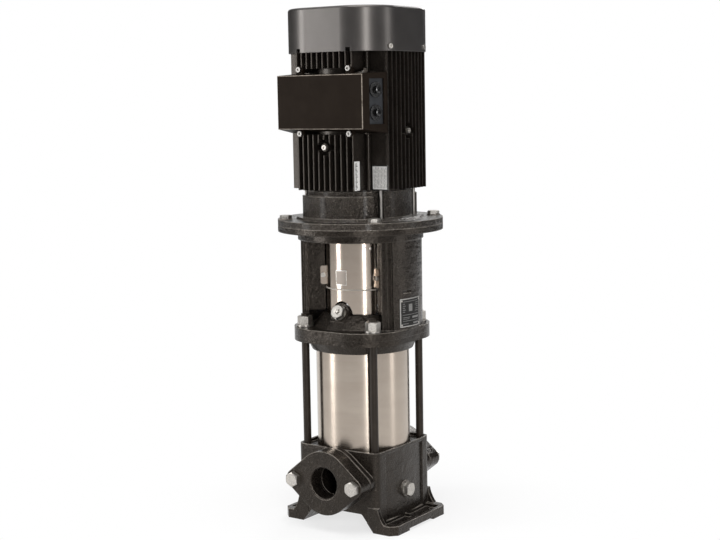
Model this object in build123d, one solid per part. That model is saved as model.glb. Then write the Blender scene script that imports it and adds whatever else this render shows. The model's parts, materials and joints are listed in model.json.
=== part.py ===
"""Vertical inline multistage pump with a flange-mounted electric motor.

Millimetres, +Z up along the shaft. The origin is in the foot plane under the shaft.
The inlet points along -X, the outlet along +X. The drain plug and the type plate face -Y.
"""

from build123d import *
import math
import os

# Clearances
fit_gap = 0.02  # turned seats and push fits between pieces that don't move apart
run_gap = 0.05  # radial running clearance of a shaft in its bush
part_gap = 0.3  # curved faces that pass each other
rotor_gap = 0.6  # radial air gap of the motor

# Base casting
foot_x = 178.0
foot_y = 248.0
foot_t = 17.0
foot_chamfer = 12.0
foot_hole_x = 130.0
foot_hole_y = 215.0
foot_hole_d = 13.5
pad_length = 49.0
pad_relief = 4.0
curb_w = 7.0
trough_half_x = 73.0
trough_depth = 6.0
trough_rib_t = 4.0
trough_rib_w = 12.0
arch_w = 156.0
arch_top_w = 106.0
arch_h = 31.0
arch_round = 5.0
web_t = 9.0
web_top = 45.0
web_spread = 13.5
web_hollow = 1.6
web_root = 20.0
body_w = 174.0
body_bulge = 2.5
body_corner = 12.0
base_h = 145.0
rim_depth = 6.0
rim_wall = 4.0
panel_half = 61.0
panel_depth = 3.0

# Wet passages in the base
port_h = 90.0
passage_d = 52.0
suction_r = 46.0
suction_floor = 42.0
suction_wall = 8.0
collar_t = 6.0
seat_drop = 23.0
ring_passage_floor = 104.0

# Ports, counter-flanges and their bolts
port_face_x = 100.0
port_flange_t = 12.0
port_flange_r = 58.0
port_ear_pitch = 130.0
port_ear_r = 17.0
counter_flange_t = 29.0
gasket_t = 1.5
gasket_inset = 1.0
pipe_thread_d = 56.7
thread_entry = 2.0
port_bolt_d = 16.0
port_bolt_af = 24.0
port_bolt_head = 10.0

# Drain plug
drain_h = 63.0
drain_thread_d = 17.0
drain_thread_l = 20.0
drain_af = 24.0
drain_head = 8.5
drain_boss_r = 15.0
drain_boss_l = 1.5
plug_washer_t = 1.5
plug_collar_t = 1.5

# Sleeve, O-rings and staybolts
sleeve_d = 171.0
sleeve_wall = 2.0
sleeve_seat = 15.0
sleeve_margin = 26.0
o_ring_d = 3.4
o_ring_play = 0.05
rod_pitch = 149.4
rod_d = 14.0
rod_end = 4.0
rod_depth = 50.0
nut_af = 24.0
nut_h = 16.0
rod_washer_r = 15.0
rod_washer_t = 3.0

# Stage stack
stages = 4
stage_h = 45.0
chamber_r = 70.0
chamber_wall = 1.5
chamber_floor = 2.0
eye_r = 26.0
neck_ring_t = 3.0
neck_ring_h = 6.0
impeller_r = 56.0
impeller_h = 22.0
shroud_t = 1.5
hub_r = 14.0
impeller_blades = 7
guide_vanes = 8
guide_h = 11.0
guide_r = 66.0
blade_t = 2.0
top_windows = 6

# Pump shaft
pump_shaft_d = 16.0
shaft_tail = 22.0
impeller_nut_h = 12.0
impeller_nut_af = 27.0
bush_r = 15.0
bush_h = 14.0

# Pump head
skirt_r_low = 93.0
skirt_r_top = 101.0
skirt_drop = 17.0
skirt_h = 18.0
head_half = 111.0
head_corner = 78.0
head_plate_t = 10.0
head_ceiling_drop = 10.0
dome_r_low = 91.0
dome_r_top = 70.0
dome_h = 24.5
seal_chamber_r = 30.0
seal_roof = 12.0
seal_r = 22.0
seal_seat_h = 9.0
seal_head_h = 18.0
seal_bore_gap = 4.0

# Priming plug and vent screw, tilted up towards -X
plug_tilt = 25.0
plug_face_x = 70.0
plug_face_z = 28.0
plug_boss_r = 19.0
plug_boss_l = 34.0
plug_spot_r = 15.5
plug_block_w = 30.0
plug_block_x = 80.0
plug_block_l = 24.0
plug_block_h = 14.0
plug_thread_d = 16.0
plug_thread_l = 18.0
plug_af = 24.0
plug_head = 9.0
vent_d = 6.0
vent_l = 16.0
vent_head_r = 4.5
vent_head = 2.5
vent_slot = 1.2

# Motor stool
stool_flange_t = 14.5
leg_h = 158.0
leg_r = 112.0
leg_skin_t = 6.0
leg_mid_t = 4.0
leg_core_t = 5.0
leg_skin_deg = 25.0
leg_mid_deg = 30.0
leg_core_deg = 34.5
stool_ring_r = 114.2
stool_ring_in_r = 86.0
stool_ring_h = 15.5
stool_slot_w = 22.0
stool_slot_h = 5.0
stool_slot_x = -17.0
stool_slot_up = 67.5
stool_slot_depth = 4.0
rim_r = 150.0
stool_rim_t = 11.0
spigot_r = 115.0
spigot_h = 4.0
rib_t = 8.0
rib_guard_gap = 3.0
guard_screw_up = 90.0

# Coupling guard
guard_r = 63.5
guard_t = 1.0
guard_deg = 60.0
guard_gap = 1.0
bead_up = 69.1
bead_r = 1.2
tab_out = 11.5
tab_h = 34.0
tab_round = 4.0
guard_corner = 6.0
guard_screw_d = 5.0
guard_screw_head_r = 4.3
guard_screw_head = 3.0
guard_screw_l = 9.0
guard_plug_gap = 2.5

# Coupling
coupling_r = 38.0
coupling_l = 92.0
coupling_split = 2.0
coupling_low = 54.0
coupling_screw_d = 8.0
coupling_screw_head_r = 6.5
coupling_screw_head = 8.0
coupling_screw_off = 28.0
coupling_screw_inset = 18.0
shaft_ends_gap = 9.0
coupling_pin_d = 5.0
coupling_pin_inset = 14.0

# Plates on the stool and the motor
stool_plate_w = 56.0
stool_plate_h = 51.0
stool_plate_x = -8.0
stool_plate_up = 30.0
plate_t = 0.8
plate_gap = 0.25
rivet_r = 1.6
rivet_h = 0.6
rivet_lift = 0.05

# Motor flange (drive-end shield)
motor_rim_t = 11.0
motor_bolt_circle_r = 136.5
flange_bolt_d = 12.0
flange_bolt_af = 19.0
flange_bolt_head = 6.5
bolt_pad_h = 1.5
bolt_pad_r = 12.5
flange_bolt_inset = 1.5
hub_step_r = 117.0
hub_step_h = 4.0
neck_r = 94.5
neck_h = 51.0
neck_pad_r = 104.5
neck_pad_deg = 47.8
neck_pad_top = 43.0
channel_deg = 54.2
channel_w = 21.0
channel_floor_r = 84.0
neck_bore_r = 62.0
tie_rod_y = 81.2
tie_rod_d = 6.0
tie_rod_af = 10.0
tie_rod_head = 5.0
tie_rod_grip = 12.0

# Motor frame
frame_gap = 3.0
frame_h = 241.0
barrel_r = 88.0
frame_bore_r = 79.0
fin_count = 11
fin_pitch = 11.8
fin_t = 2.8
fin_mid = 108.0
fin_end = 104.0
bead_corner_r = 91.0
bead_corner_d = 8.0
face_plug_r = 7.0
face_plug_gap = 14.0
face_plug_up_front = 76.0
face_plug_up_side = 102.5
face_plug_screw_r = 4.5
face_plug_screw_h = 3.5
face_plug_screw_l = 8.0

# Motor inside
core_h = 130.0
core_mid = 125.0
core_bore_r = 48.0
winding_h = 28.0
winding_wall = 18.0
rotor_ring_h = 8.0
motor_shaft_d = 38.0
motor_shaft_out = 80.0
motor_shaft_mid_d = 44.0
fan_shaft_d = 28.0
key_w = 10.0
key_h = 8.0
key_l = 36.0
drive_bearing_bore = 40.0
drive_bearing_od = 90.0
drive_bearing_w = 23.0
drive_ball_d = 15.0
fan_bearing_bore = 30.0
fan_bearing_od = 72.0
fan_bearing_w = 19.0
fan_ball_d = 12.0
ball_count = 8
race_share = 0.3
bearing_cover = 4.0
bearing_seat_wall = 7.0

# Fan end
shield_t = 12.0
shield_r = 90.0
shield_arm_w = 20.0
shield_hub_r = 46.0
shield_hub_drop = 16.0
fan_r = 88.0
fan_h = 34.0
fan_hub_r = 24.0
fan_blades = 7
fan_plate_t = 3.0
fan_lift = 8.0
cover_half = 108.0
cover_corner = 70.0
cover_h = 78.0
cover_wall = 2.0
cover_round = 5.0
cover_notch_w = 9.0
cover_notch_h = 7.0
grille_rings = 6
grille_slot = 7.0
grille_bar = 5.0
grille_core_r = 14.0
grille_spokes = 8
grille_spoke_w = 6.0
cover_screw_x = 54.0
cover_screw_z = 8.0
cover_screw_d = 5.0
cover_screw_head_r = 4.5
cover_screw_head = 2.5
cover_screw_l = 14.0

# Terminal box
box_rear_x = 62.0
box_front_x = 120.0
box_rear_half_y = 104.0
box_front_half_y = 91.0
box_low_up = 100.0
box_high_up = 205.0
box_front_low_up = 108.0
box_front_high_up = 202.0
box_gap_top = 8.0
box_gap_low = 2.0
lid_wall = 3.0
lid_window_front = 103.0
lid_window_rear = 69.0
lid_window_margin = 8.0
box_wall = 4.0
box_face_x = 105.0
lid_screw_high = 7.0
lid_post_r = 5.5
lid_screw_d = 5.0
lid_screw_head_r = 4.8
lid_screw_head = 4.0
lid_screw_l = 16.0
lid_ear_r = 6.5
lid_ear_face_x = 104.0
lid_ear_t = 8.0
entry_r = 12.0
entry_flange_r = 13.5
entry_flange_t = 2.5
entry_depth = 7.0
entry_x = 86.0
entry_pitch = 39.0
terminal_w = 60.0
terminal_depth = 12.0
terminal_h = 34.0
terminal_posts = 6
terminal_post_r = 2.5
terminal_post_l = 6.0

# Motor rating plate and sticker, on the side walls of the corner notch
rating_w = 34.0
rating_h = 46.0
rating_up = 21.0
rating_inset = 1.5
sticker_w = 16.0
sticker_h = 51.0
sticker_up = 26.5
sticker_t = 0.4
sticker_inset = 1.0

# Heights worked out from the sizes above
sleeve_z0 = base_h - sleeve_seat
sleeve_z1 = sleeve_z0 + stages * stage_h + sleeve_margin
sleeve_r = sleeve_d / 2
sleeve_in_r = sleeve_r - sleeve_wall
skirt_z = sleeve_z1 - skirt_drop
head_z0 = skirt_z + skirt_h
stool_z0 = head_z0 + head_plate_t
stool_floor_z = stool_z0 + stool_flange_t
dome_z = stool_floor_z + dome_h
ring_z = stool_floor_z + leg_h
stool_rim_z = ring_z + stool_ring_h
flange_z = stool_rim_z + stool_rim_t
flange_top_z = flange_z + motor_rim_t
hub_z = flange_top_z + hub_step_h
neck_top_z = flange_top_z + neck_h
frame_z0 = neck_top_z + frame_gap
frame_z1 = frame_z0 + frame_h
shield_z1 = frame_z1 + shield_t
stack_z0 = base_h - seat_drop
stack_z1 = stack_z0 + stages * stage_h
ceiling_z = sleeve_z1 - head_ceiling_drop
rod_z0 = base_h - rod_depth
rod_z1 = stool_floor_z + rod_washer_t + nut_h + rod_end
shaft_r = pump_shaft_d / 2
counter_x0 = port_face_x + gasket_t
counter_x1 = counter_x0 + counter_flange_t
core_z0 = frame_z0 + core_mid - core_h / 2
core_z1 = core_z0 + core_h
drive_bearing_z = neck_top_z - drive_bearing_w - bearing_cover
fan_bearing_z = shield_z1 - fan_bearing_w - bearing_cover
fan_z0 = shield_z1 + fan_lift
motor_shaft_z0 = flange_z - motor_shaft_out
pump_shaft_z1 = motor_shaft_z0 - shaft_ends_gap
coupling_z0 = stool_floor_z + coupling_low
stool_slot_z = stool_floor_z + stool_slot_up
stool_plate_z = stool_floor_z + stool_plate_up
guard_screw_z = stool_floor_z + guard_screw_up
bead_z = stool_floor_z + bead_up
box_low_z = frame_z0 + box_low_up
box_high_z = frame_z0 + box_high_up
box_front_low_z = frame_z0 + box_front_low_up
box_front_high_z = frame_z0 + box_front_high_up
rating_z = frame_z0 + rating_up
sticker_z = frame_z0 + sticker_up
fin_half = fin_pitch * (fin_count - 1) / 2
block_half = fin_half + fin_t / 2
groove_mid = fin_half - fin_pitch / 2
plug_axis = (-math.cos(math.radians(plug_tilt)), 0.0, math.sin(math.radians(plug_tilt)))
plug_origin = (-plug_face_x, 0.0, stool_floor_z + plug_face_z)
both = (-1, 1)
corners = [(i, j) for i in both for j in both]


def rod(r, z0, z1, x=0.0, y=0.0):
    """Upright cylinder from z0 to z1."""
    return Pos(x, y, (z0 + z1) / 2) * Cylinder(r, z1 - z0)


def ring(r_out, r_in, z0, z1, x=0.0, y=0.0):
    """Upright tube from z0 to z1."""
    return rod(r_out, z0, z1, x, y) - rod(r_in, z0 - 1, z1 + 1, x, y)


def cone(r0, r1, z0, z1):
    """Upright cone frustum from radius r0 at z0 to r1 at z1."""
    return Pos(0, 0, (z0 + z1) / 2) * Cone(r0, r1, z1 - z0)


def bar(x0, x1, y0, y1, z0, z1):
    """Box between two corners."""
    middle = Pos((x0 + x1) / 2, (y0 + y1) / 2, (z0 + z1) / 2)
    return middle * Box(abs(x1 - x0), abs(y1 - y0), abs(z1 - z0))


def rod_x(r, x0, x1, y, z):
    """Cylinder along X."""
    return Pos((x0 + x1) / 2, y, z) * Rot(0, 90, 0) * Cylinder(r, abs(x1 - x0))


def rod_y(r, y0, y1, x, z):
    """Cylinder along Y."""
    return Pos(x, (y0 + y1) / 2, z) * Rot(90, 0, 0) * Cylinder(r, abs(y1 - y0))


def polar(r, deg):
    """Point at radius r and angle deg from +X."""
    return (r * math.cos(math.radians(deg)), r * math.sin(math.radians(deg)))


def sector(r_out, r_in, mid, half, z0, z1):
    """Slice of a tube, half degrees each side of the angle mid."""
    a, b = mid - half, mid + half
    outer = ThreePointArc(polar(r_out, a), polar(r_out, mid), polar(r_out, b))
    inner = ThreePointArc(polar(r_in, b), polar(r_in, mid), polar(r_in, a))
    sides = [Line(polar(r_out, b), polar(r_in, b)), Line(polar(r_in, a), polar(r_out, a))]
    return Pos(0, 0, z0) * extrude(make_face([outer, inner] + sides), z1 - z0)


def blade(r0, r1, start, sweep, t, z0, z1):
    """Curved blade of thickness t from radius r0 to r1, turning by sweep degrees."""
    def edge(side):
        points = []
        for share in (0.0, 0.5, 1.0):
            r = r0 + (r1 - r0) * share
            turn = math.degrees(side * t / 2 / r)
            points.append(polar(r, start + sweep * share ** 1.5 + turn))
        return points
    low, high = edge(-1), edge(1)
    outline = [
        ThreePointArc(*low),
        Line(low[2], high[2]),
        ThreePointArc(*reversed(high)),
        Line(high[0], low[0]),
    ]
    return Pos(0, 0, z0) * extrude(make_face(outline), z1 - z0)


def facing(origin, direction):
    """Plane at origin whose normal points along direction."""
    return Plane(origin=origin, z_dir=direction)


def hex_head(af, h):
    """Hexagon standing on z = 0 with the usual chamfer on its top."""
    top_r = af * 0.475
    chamfer_cone = Pos(0, 0, h / 2) * Cone(top_r + h * math.tan(math.radians(60)), top_r, h)
    return extrude(RegularPolygon(af / 2, 6, major_radius=False), h) & chamfer_cone


def hex_bolt(af, h, d, length):
    """Hex bolt with its head on z = 0 and its shank below."""
    return hex_head(af, h) + rod(d / 2, -length, h / 2)


def cap_screw(r, h, d, length, socket=0.5):
    """Round-headed screw with a hexagon socket, head on z = 0 and shank below."""
    head = rod(r, 0, h) + rod(d / 2, -length, h / 2)
    key = Pos(0, 0, h * (1 - socket)) * extrude(RegularPolygon(r * 0.5, 6), h)
    return head - key


def group(shapes):
    """Separate solids kept together as one part."""
    return Compound(children=[solid for shape in shapes for solid in shape.solids()])


def bulged_square(half, bulge, corner):
    """Square whose sides swell by bulge, with rounded corners."""
    points = [(half, -half), (half, half), (-half, half), (-half, -half)]
    middles = [(half + bulge, 0), (0, half + bulge), (-half - bulge, 0), (0, -half - bulge)]
    sides = []
    for i in range(4):
        sides.append(ThreePointArc(points[i], middles[i], points[(i + 1) % 4]))
    face = make_face(sides)
    return fillet(face.vertices(), corner)


def port_outline(inset=0.0):
    """Oval flange outline: a circle and two ears joined by their common tangents."""
    big, small, reach = port_flange_r - inset, port_ear_r - inset, port_ear_pitch / 2
    lean = math.acos((big - small) / reach)
    c, s = math.cos(lean), math.sin(lean)
    edges = []
    for side in both:
        edges.append(ThreePointArc((big * c, side * big * s), (0, side * big), (-big * c, side * big * s)))
        ear_top = (side * (reach + small * c), small * s)
        ear_low = (side * (reach + small * c), -small * s)
        edges.append(ThreePointArc(ear_top, (side * (reach + small), 0), ear_low))
        for end in both:
            start = (side * big * c, end * big * s)
            edges.append(Line(start, (side * (reach + small * c), end * small * s)))
    return make_face(edges)


def port_slab(side, x0, x1, inset=0.0):
    """Port flange between two distances from the shaft, on the inlet (-1) or outlet (1) side."""
    plane = Plane(origin=(side * x0, 0, port_h), x_dir=(0, side, 0), z_dir=(side, 0, 0))
    return plane * extrude(port_outline(inset), x1 - x0)


def base():
    """Cast base: feet, arch, ports, suction chamber, outlet passage and sleeve pocket."""
    half = body_w / 2
    foot = extrude(chamfer(Rectangle(foot_x, foot_y).vertices(), foot_chamfer), foot_t)
    for side in both:
        foot -= bar(
            -trough_half_x, trough_half_x, side * half, side * (foot_y / 2 - curb_w),
            foot_t - trough_depth, foot_t + 1,
        )
        foot += bar(
            -trough_rib_t / 2, trough_rib_t / 2, side * half, side * (half + trough_rib_w),
            foot_t - trough_depth - 1, foot_t,
        )
    shape = foot + extrude(bulged_square(half, body_bulge, body_corner), base_h) - side_panels()
    for side in both:
        for x0 in (-foot_x / 2, foot_x / 2 - web_t):
            plane = Plane(origin=(x0, 0, 0), x_dir=(0, 1, 0), z_dir=(1, 0, 0))
            shape += plane * extrude(web_outline(side), web_t)
    shape -= base_arch()
    for side in both:
        relief = foot_x / 2 - pad_length
        shape -= bar(-relief, relief, side * (arch_w / 2 - 4), side * (foot_y / 2 + 1), -1, pad_relief)
        shape += port_slab(side, port_face_x - port_flange_t, port_face_x)
    boss_y = half + body_bulge + drain_boss_l
    shape += rod_y(drain_boss_r, -boss_y, -half + 4, 0, drain_h)
    for i, j in corners:
        shape -= rod(foot_hole_d / 2, -1, foot_t + 1, i * foot_hole_x / 2, j * foot_hole_y / 2)
        shape -= rod(rod_d / 2 + fit_gap, rod_z0, base_h + 1, i * rod_pitch / 2, j * rod_pitch / 2)
        shape -= rod_x(
            port_bolt_d / 2 + fit_gap, i * (port_face_x - port_flange_t), i * (port_face_x + 1),
            j * port_ear_pitch / 2, port_h,
        )
    collar_out = sleeve_in_r - fit_gap
    collar_in = collar_out - collar_t
    wall_r = suction_r + suction_wall
    shape -= rod(suction_r, suction_floor, stack_z0 + 1)
    shape -= rod_x(passage_d / 2, -port_face_x - 1, 0, 0, port_h)
    shape -= ring(collar_in, wall_r, ring_passage_floor, stack_z0)
    shape -= rod(collar_in, stack_z0, base_h + 1)
    shape -= rod_x(passage_d / 2, wall_r + 1, port_face_x + 1, 0, port_h)
    shape -= ring(sleeve_r + part_gap, collar_out, sleeve_z0, base_h + 1)
    recess = extrude(bulged_square(half - rim_wall, body_bulge, body_corner - rim_wall), rim_depth + 1)
    shape -= Pos(0, 0, base_h - rim_depth) * recess - rod(collar_out, 0, base_h + 2)
    shape -= o_ring_groove(sleeve_z0 + sleeve_seat * 0.4)
    shape -= rod_y(drain_thread_d / 2 + fit_gap, -boss_y - 1, -suction_r + 4, 0, drain_h)
    return shape


def side_panels():
    """What is cut from the two plain sides, so that the corners stand out as pilasters."""
    half = body_w / 2
    edge = half + body_bulge * (1 - (panel_half / half) ** 2) - panel_depth
    out = half + 2 * panel_depth
    cuts = []
    for side in both:
        left, right = (-panel_half, side * edge), (panel_half, side * edge)
        left_out, right_out = (-panel_half, side * out), (panel_half, side * out)
        swell = ThreePointArc(left, (0, side * (half + body_bulge)), right)
        face = make_face([swell, Line(right, right_out), Line(right_out, left_out), Line(left_out, left)])
        cuts.append(Pos(0, 0, foot_t) * extrude(face, base_h - rim_depth - foot_t))
    return cuts


def web_outline(side):
    """Web between a foot and the body, hollow on its outer edge."""
    half = body_w / 2
    foot_end, body_end = (side * (half + web_spread), foot_t), (side * half, web_top)
    middle = (side * (half + web_spread / 2 - web_hollow), (foot_t + web_top) / 2 - web_hollow)
    root = side * (half - web_root)
    return make_face([
        ThreePointArc(foot_end, middle, body_end),
        Line(body_end, (root, web_top)),
        Line((root, web_top), (root, foot_t / 2)),
        Line((root, foot_t / 2), (foot_end[0], foot_t / 2)),
        Line((foot_end[0], foot_t / 2), foot_end),
    ])


def base_arch():
    """Space between the feet, through the casting along X."""
    outline = Polyline(
        (-arch_w / 2, -1), (-arch_w / 2, 0), (-arch_top_w / 2, arch_h),
        (arch_top_w / 2, arch_h), (arch_w / 2, 0), (arch_w / 2, -1), close=True,
    )
    face = make_face(outline)
    face = fillet(face.vertices().group_by(Axis.Y)[-1], arch_round)
    length = foot_x + 20
    return Plane(origin=(-length / 2, 0, 0), x_dir=(0, 1, 0), z_dir=(1, 0, 0)) * extrude(face, length)


def o_ring_groove(z):
    """Groove for a sleeve O-ring, with its middle at height z."""
    floor_r = sleeve_in_r - o_ring_d - 2 * o_ring_play
    return ring(sleeve_in_r + 1, floor_r, z - o_ring_d * 0.65, z + o_ring_d * 0.65)


def sleeve_o_rings():
    major = sleeve_in_r - o_ring_d / 2 - o_ring_play
    rings = []
    for z in (sleeve_z0 + sleeve_seat * 0.4, (ceiling_z + sleeve_z1) / 2):
        rings.append(Pos(0, 0, z) * Torus(major, o_ring_d / 2))
    return group(rings)


def counter_flange(side):
    """Oval counter-flange with a threaded port."""
    shape = port_slab(side, counter_x0, counter_x1)
    shape -= rod_x(pipe_thread_d / 2, side * (counter_x0 - 1), side * (counter_x1 + 1), 0, port_h)
    flare = Cone(pipe_thread_d / 2, pipe_thread_d / 2 + thread_entry, thread_entry)
    plane = facing((side * (counter_x1 - thread_entry / 2), 0, port_h), (side, 0, 0))
    shape -= plane * flare
    for j in both:
        hole_y = j * port_ear_pitch / 2
        x0, x1 = side * (counter_x0 - 1), side * (counter_x1 + 1)
        shape -= rod_x(port_bolt_d / 2 + fit_gap, x0, x1, hole_y, port_h)
    return shape


def port_gaskets():
    gaskets = []
    for side in both:
        gasket = port_slab(side, port_face_x, counter_x0, gasket_inset)
        x0, x1 = side * port_face_x, side * counter_x0
        gasket -= rod_x(pipe_thread_d / 2 + gasket_inset, x0, x1, 0, port_h)
        for j in both:
            gasket -= rod_x(port_bolt_d / 2 + part_gap, x0, x1, j * port_ear_pitch / 2, port_h)
        gaskets.append(gasket)
    return group(gaskets)


def port_flange_bolts():
    length = counter_x1 - port_face_x + port_flange_t - 2.0
    bolts = []
    for i, j in corners:
        plane = facing((i * counter_x1, j * port_ear_pitch / 2, port_h), (i, 0, 0))
        bolts.append(plane * hex_bolt(port_bolt_af, port_bolt_head, port_bolt_d, length))
    return group(bolts)


def drain_plug():
    face_y = body_w / 2 + body_bulge + drain_boss_l + plug_washer_t
    plane = facing((0, -face_y, drain_h), (0, -1, 0))
    shape = Pos(0, 0, plug_collar_t) * hex_head(drain_af, drain_head)
    shape += rod(drain_boss_r - 1.5, 0, plug_collar_t)
    shape += rod(drain_thread_d / 2, -drain_thread_l, 1)
    return plane * shape


def plug_washers():
    face_y = body_w / 2 + body_bulge + drain_boss_l
    drain = facing((0, -face_y, drain_h), (0, -1, 0))
    drain *= ring(drain_boss_r - 1.5, drain_thread_d / 2 + fit_gap, 0, plug_washer_t)
    priming = facing(plug_origin, plug_axis)
    priming *= ring(plug_af / 2 + 1.5, plug_thread_d / 2 + fit_gap, 0, plug_washer_t)
    return group([drain, priming])


def staybolts():
    rods = []
    for i, j in corners:
        rods.append(rod(rod_d / 2, rod_z0, rod_z1, i * rod_pitch / 2, j * rod_pitch / 2))
    return group(rods)


def staybolt_washers():
    washers = []
    for i, j in corners:
        x, y = i * rod_pitch / 2, j * rod_pitch / 2
        z1 = stool_floor_z + rod_washer_t
        washers.append(ring(rod_washer_r, rod_d / 2 + fit_gap, stool_floor_z, z1, x, y))
    return group(washers)


def staybolt_nuts():
    nuts = []
    for i, j in corners:
        nut = hex_head(nut_af, nut_h) - rod(rod_d / 2 + fit_gap, -1, nut_h + 1)
        nuts.append(Pos(i * rod_pitch / 2, j * rod_pitch / 2, stool_floor_z + rod_washer_t) * nut)
    return group(nuts)


def head_outline():
    return RectangleRounded(2 * head_half, 2 * head_half, head_corner)


def pump_head():
    """Cast head: skirt over the sleeve, plate, dome, seal chamber and priming boss."""
    shape = cone(skirt_r_low, skirt_r_top, skirt_z, head_z0)
    shape += Pos(0, 0, head_z0) * extrude(head_outline(), head_plate_t)
    shape += rod(dome_r_low, stool_z0 - 1, stool_floor_z)
    shape += cone(dome_r_low, dome_r_top, stool_floor_z, dome_z)
    plug_plane = facing(plug_origin, plug_axis)
    shape += plug_plane * rod(plug_boss_r, -plug_boss_l, 0)
    shape += bar(
        -plug_block_x, -plug_block_x + plug_block_l, -plug_block_w / 2, plug_block_w / 2,
        stool_floor_z, stool_floor_z + plug_block_h,
    )
    spigot = sleeve_in_r - fit_gap
    shape -= rod(spigot, skirt_z - 1, ceiling_z)
    shape -= ring(sleeve_r + part_gap, spigot, skirt_z - 1, sleeve_z1)
    shape -= o_ring_groove((ceiling_z + sleeve_z1) / 2)
    shape -= rod(seal_chamber_r, ceiling_z - 1, dome_z - seal_roof)
    shape -= rod(shaft_r + seal_bore_gap, ceiling_z, dome_z + 1)
    shape -= plug_plane * rod(plug_thread_d / 2 + fit_gap, -plug_boss_l - 20, 1)
    shape -= plug_plane * rod(plug_spot_r, 0, plug_boss_l)
    for i, j in corners:
        x, y = i * rod_pitch / 2, j * rod_pitch / 2
        shape -= rod(rod_d / 2 + part_gap, skirt_z, stool_z0 + 1, x, y)
        shape -= rod(rod_washer_r + part_gap, stool_floor_z, dome_z, x, y)
    return shape


def priming_plug():
    """Hex plug with a threaded bore for the vent screw."""
    shape = Pos(0, 0, plug_washer_t) * hex_head(plug_af, plug_head)
    shape += rod(plug_thread_d / 2, -plug_thread_l, plug_washer_t + 1)
    shape -= rod(vent_d / 2 + run_gap, -plug_thread_l - 1, plug_washer_t + plug_head + 1)
    return facing(plug_origin, plug_axis) * shape


def vent_screw():
    """Slotted vent screw in the middle of the priming plug."""
    seat = plug_washer_t + plug_head + run_gap
    shape = rod(vent_d / 2, seat - vent_l, seat + 1) + rod(vent_head_r, seat, seat + vent_head)
    slot_z0, slot_z1 = seat + vent_head / 2, seat + vent_head + 1
    shape -= bar(-vent_head_r, vent_head_r, -vent_slot / 2, vent_slot / 2, slot_z0, slot_z1)
    return facing(plug_origin, plug_axis) * shape


def stage_chambers():
    chambers = []
    for i in range(stages):
        z0 = stack_z0 + i * stage_h
        cup = rod(chamber_r, z0, z0 + stage_h)
        cup -= rod(chamber_r - chamber_wall, z0 + chamber_floor, z0 + stage_h + 1)
        cup -= rod(eye_r + neck_ring_t + fit_gap, z0 - 1, z0 + chamber_floor + 1)
        chambers.append(cup)
    return group(chambers)


def neck_rings():
    rings = []
    for i in range(stages):
        z0 = stack_z0 + i * stage_h
        rings.append(ring(eye_r + neck_ring_t, eye_r + run_gap, z0, z0 + neck_ring_h))
    return group(rings)


def impellers():
    wheels = []
    for i in range(stages):
        z0 = stack_z0 + i * stage_h + neck_ring_h + 1.5
        z1 = z0 + impeller_h - neck_ring_h - 2
        wheel = ring(eye_r, eye_r - shroud_t, z0 - neck_ring_h, z0 + 1)
        wheel += ring(impeller_r, eye_r - shroud_t, z0, z0 + shroud_t)
        wheel += rod(impeller_r, z1 - shroud_t, z1)
        wheel += rod(hub_r, z0 + 3, z1 + 4)
        for k in range(impeller_blades):
            start = k * 360 / impeller_blades
            wheel += blade(hub_r + 8, impeller_r - 0.5, start, -70, blade_t, z0 + 0.5, z1 - 0.5)
        wheel -= rod(shaft_r + fit_gap, z0 - 10, z1 + 10)
        wheels.append(wheel)
    return group(wheels)


def hub_span(i):
    """Bottom and top height of the hub of impeller i."""
    z0 = stack_z0 + i * stage_h + neck_ring_h + 1.5
    return z0 + 3, z0 + impeller_h - neck_ring_h + 2


def impeller_spacers():
    sleeves = []
    for i in range(stages):
        low = hub_span(i)[1]
        high = hub_span(i + 1)[0] if i + 1 < stages else stack_z1 - 1
        sleeves.append(ring(hub_r - 2, shaft_r + fit_gap, low, high))
    return group(sleeves)


def impeller_nut():
    nut = hex_head(impeller_nut_af, impeller_nut_h) - rod(shaft_r + fit_gap, -1, impeller_nut_h + 1)
    return Pos(0, 0, hub_span(0)[0] - impeller_nut_h) * nut


def guide_vanes_set():
    """Guide-vane insert of each stage, above its impeller."""
    inserts = []
    for i in range(stages):
        top = stack_z0 + (i + 1) * stage_h
        floor_z = top - guide_h - chamber_floor
        insert = ring(guide_r - 4, hub_r + 1.5, floor_z, floor_z + chamber_floor)
        for k in range(guide_vanes):
            outer = chamber_r - chamber_wall - fit_gap
            insert += blade(hub_r + 12, outer, k * 360 / guide_vanes, 50, blade_t, floor_z + 0.5, top)
        inserts.append(insert)
    return group(inserts)


def top_chamber():
    """Chamber above the last stage: carries the bush and lets the water out to the sleeve."""
    shape = rod(chamber_r, stack_z1, ceiling_z)
    shape -= rod(chamber_r - chamber_wall, stack_z1 + chamber_floor, ceiling_z + 1)
    shape += rod(bush_r + 4, stack_z1, stack_z1 + bush_h)
    shape -= rod(bush_r + fit_gap, stack_z1 - 1, stack_z1 + bush_h + 1)
    for k in range(top_windows):
        deg = k * 360 / top_windows
        x, y = polar((bush_r + 4 + chamber_r) / 2, deg)
        shape -= rod(11, stack_z1 - 1, stack_z1 + chamber_floor + 1, x, y)
        shape -= sector(chamber_r + 2, chamber_r - 5, deg, 17, stack_z1 + 6, ceiling_z - 4)
    return shape


def shaft_bush():
    return ring(bush_r, shaft_r + run_gap, stack_z1, stack_z1 + bush_h)


def shaft_seal_seat():
    top = dome_z - seal_roof
    return ring(seal_r, shaft_r + 0.8, top - seal_seat_h, top)


def shaft_seal_head():
    top = dome_z - seal_roof - seal_seat_h - run_gap
    low = top - seal_head_h
    bore_r = shaft_r + fit_gap
    return ring(seal_r - 2, bore_r, top - 6, top) + ring(seal_r - 5, bore_r, low, top - 5)


def pump_shaft():
    low = hub_span(0)[0] - shaft_tail
    return rod(shaft_r, low, pump_shaft_z1) - coupling_pin(fit_gap)


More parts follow.
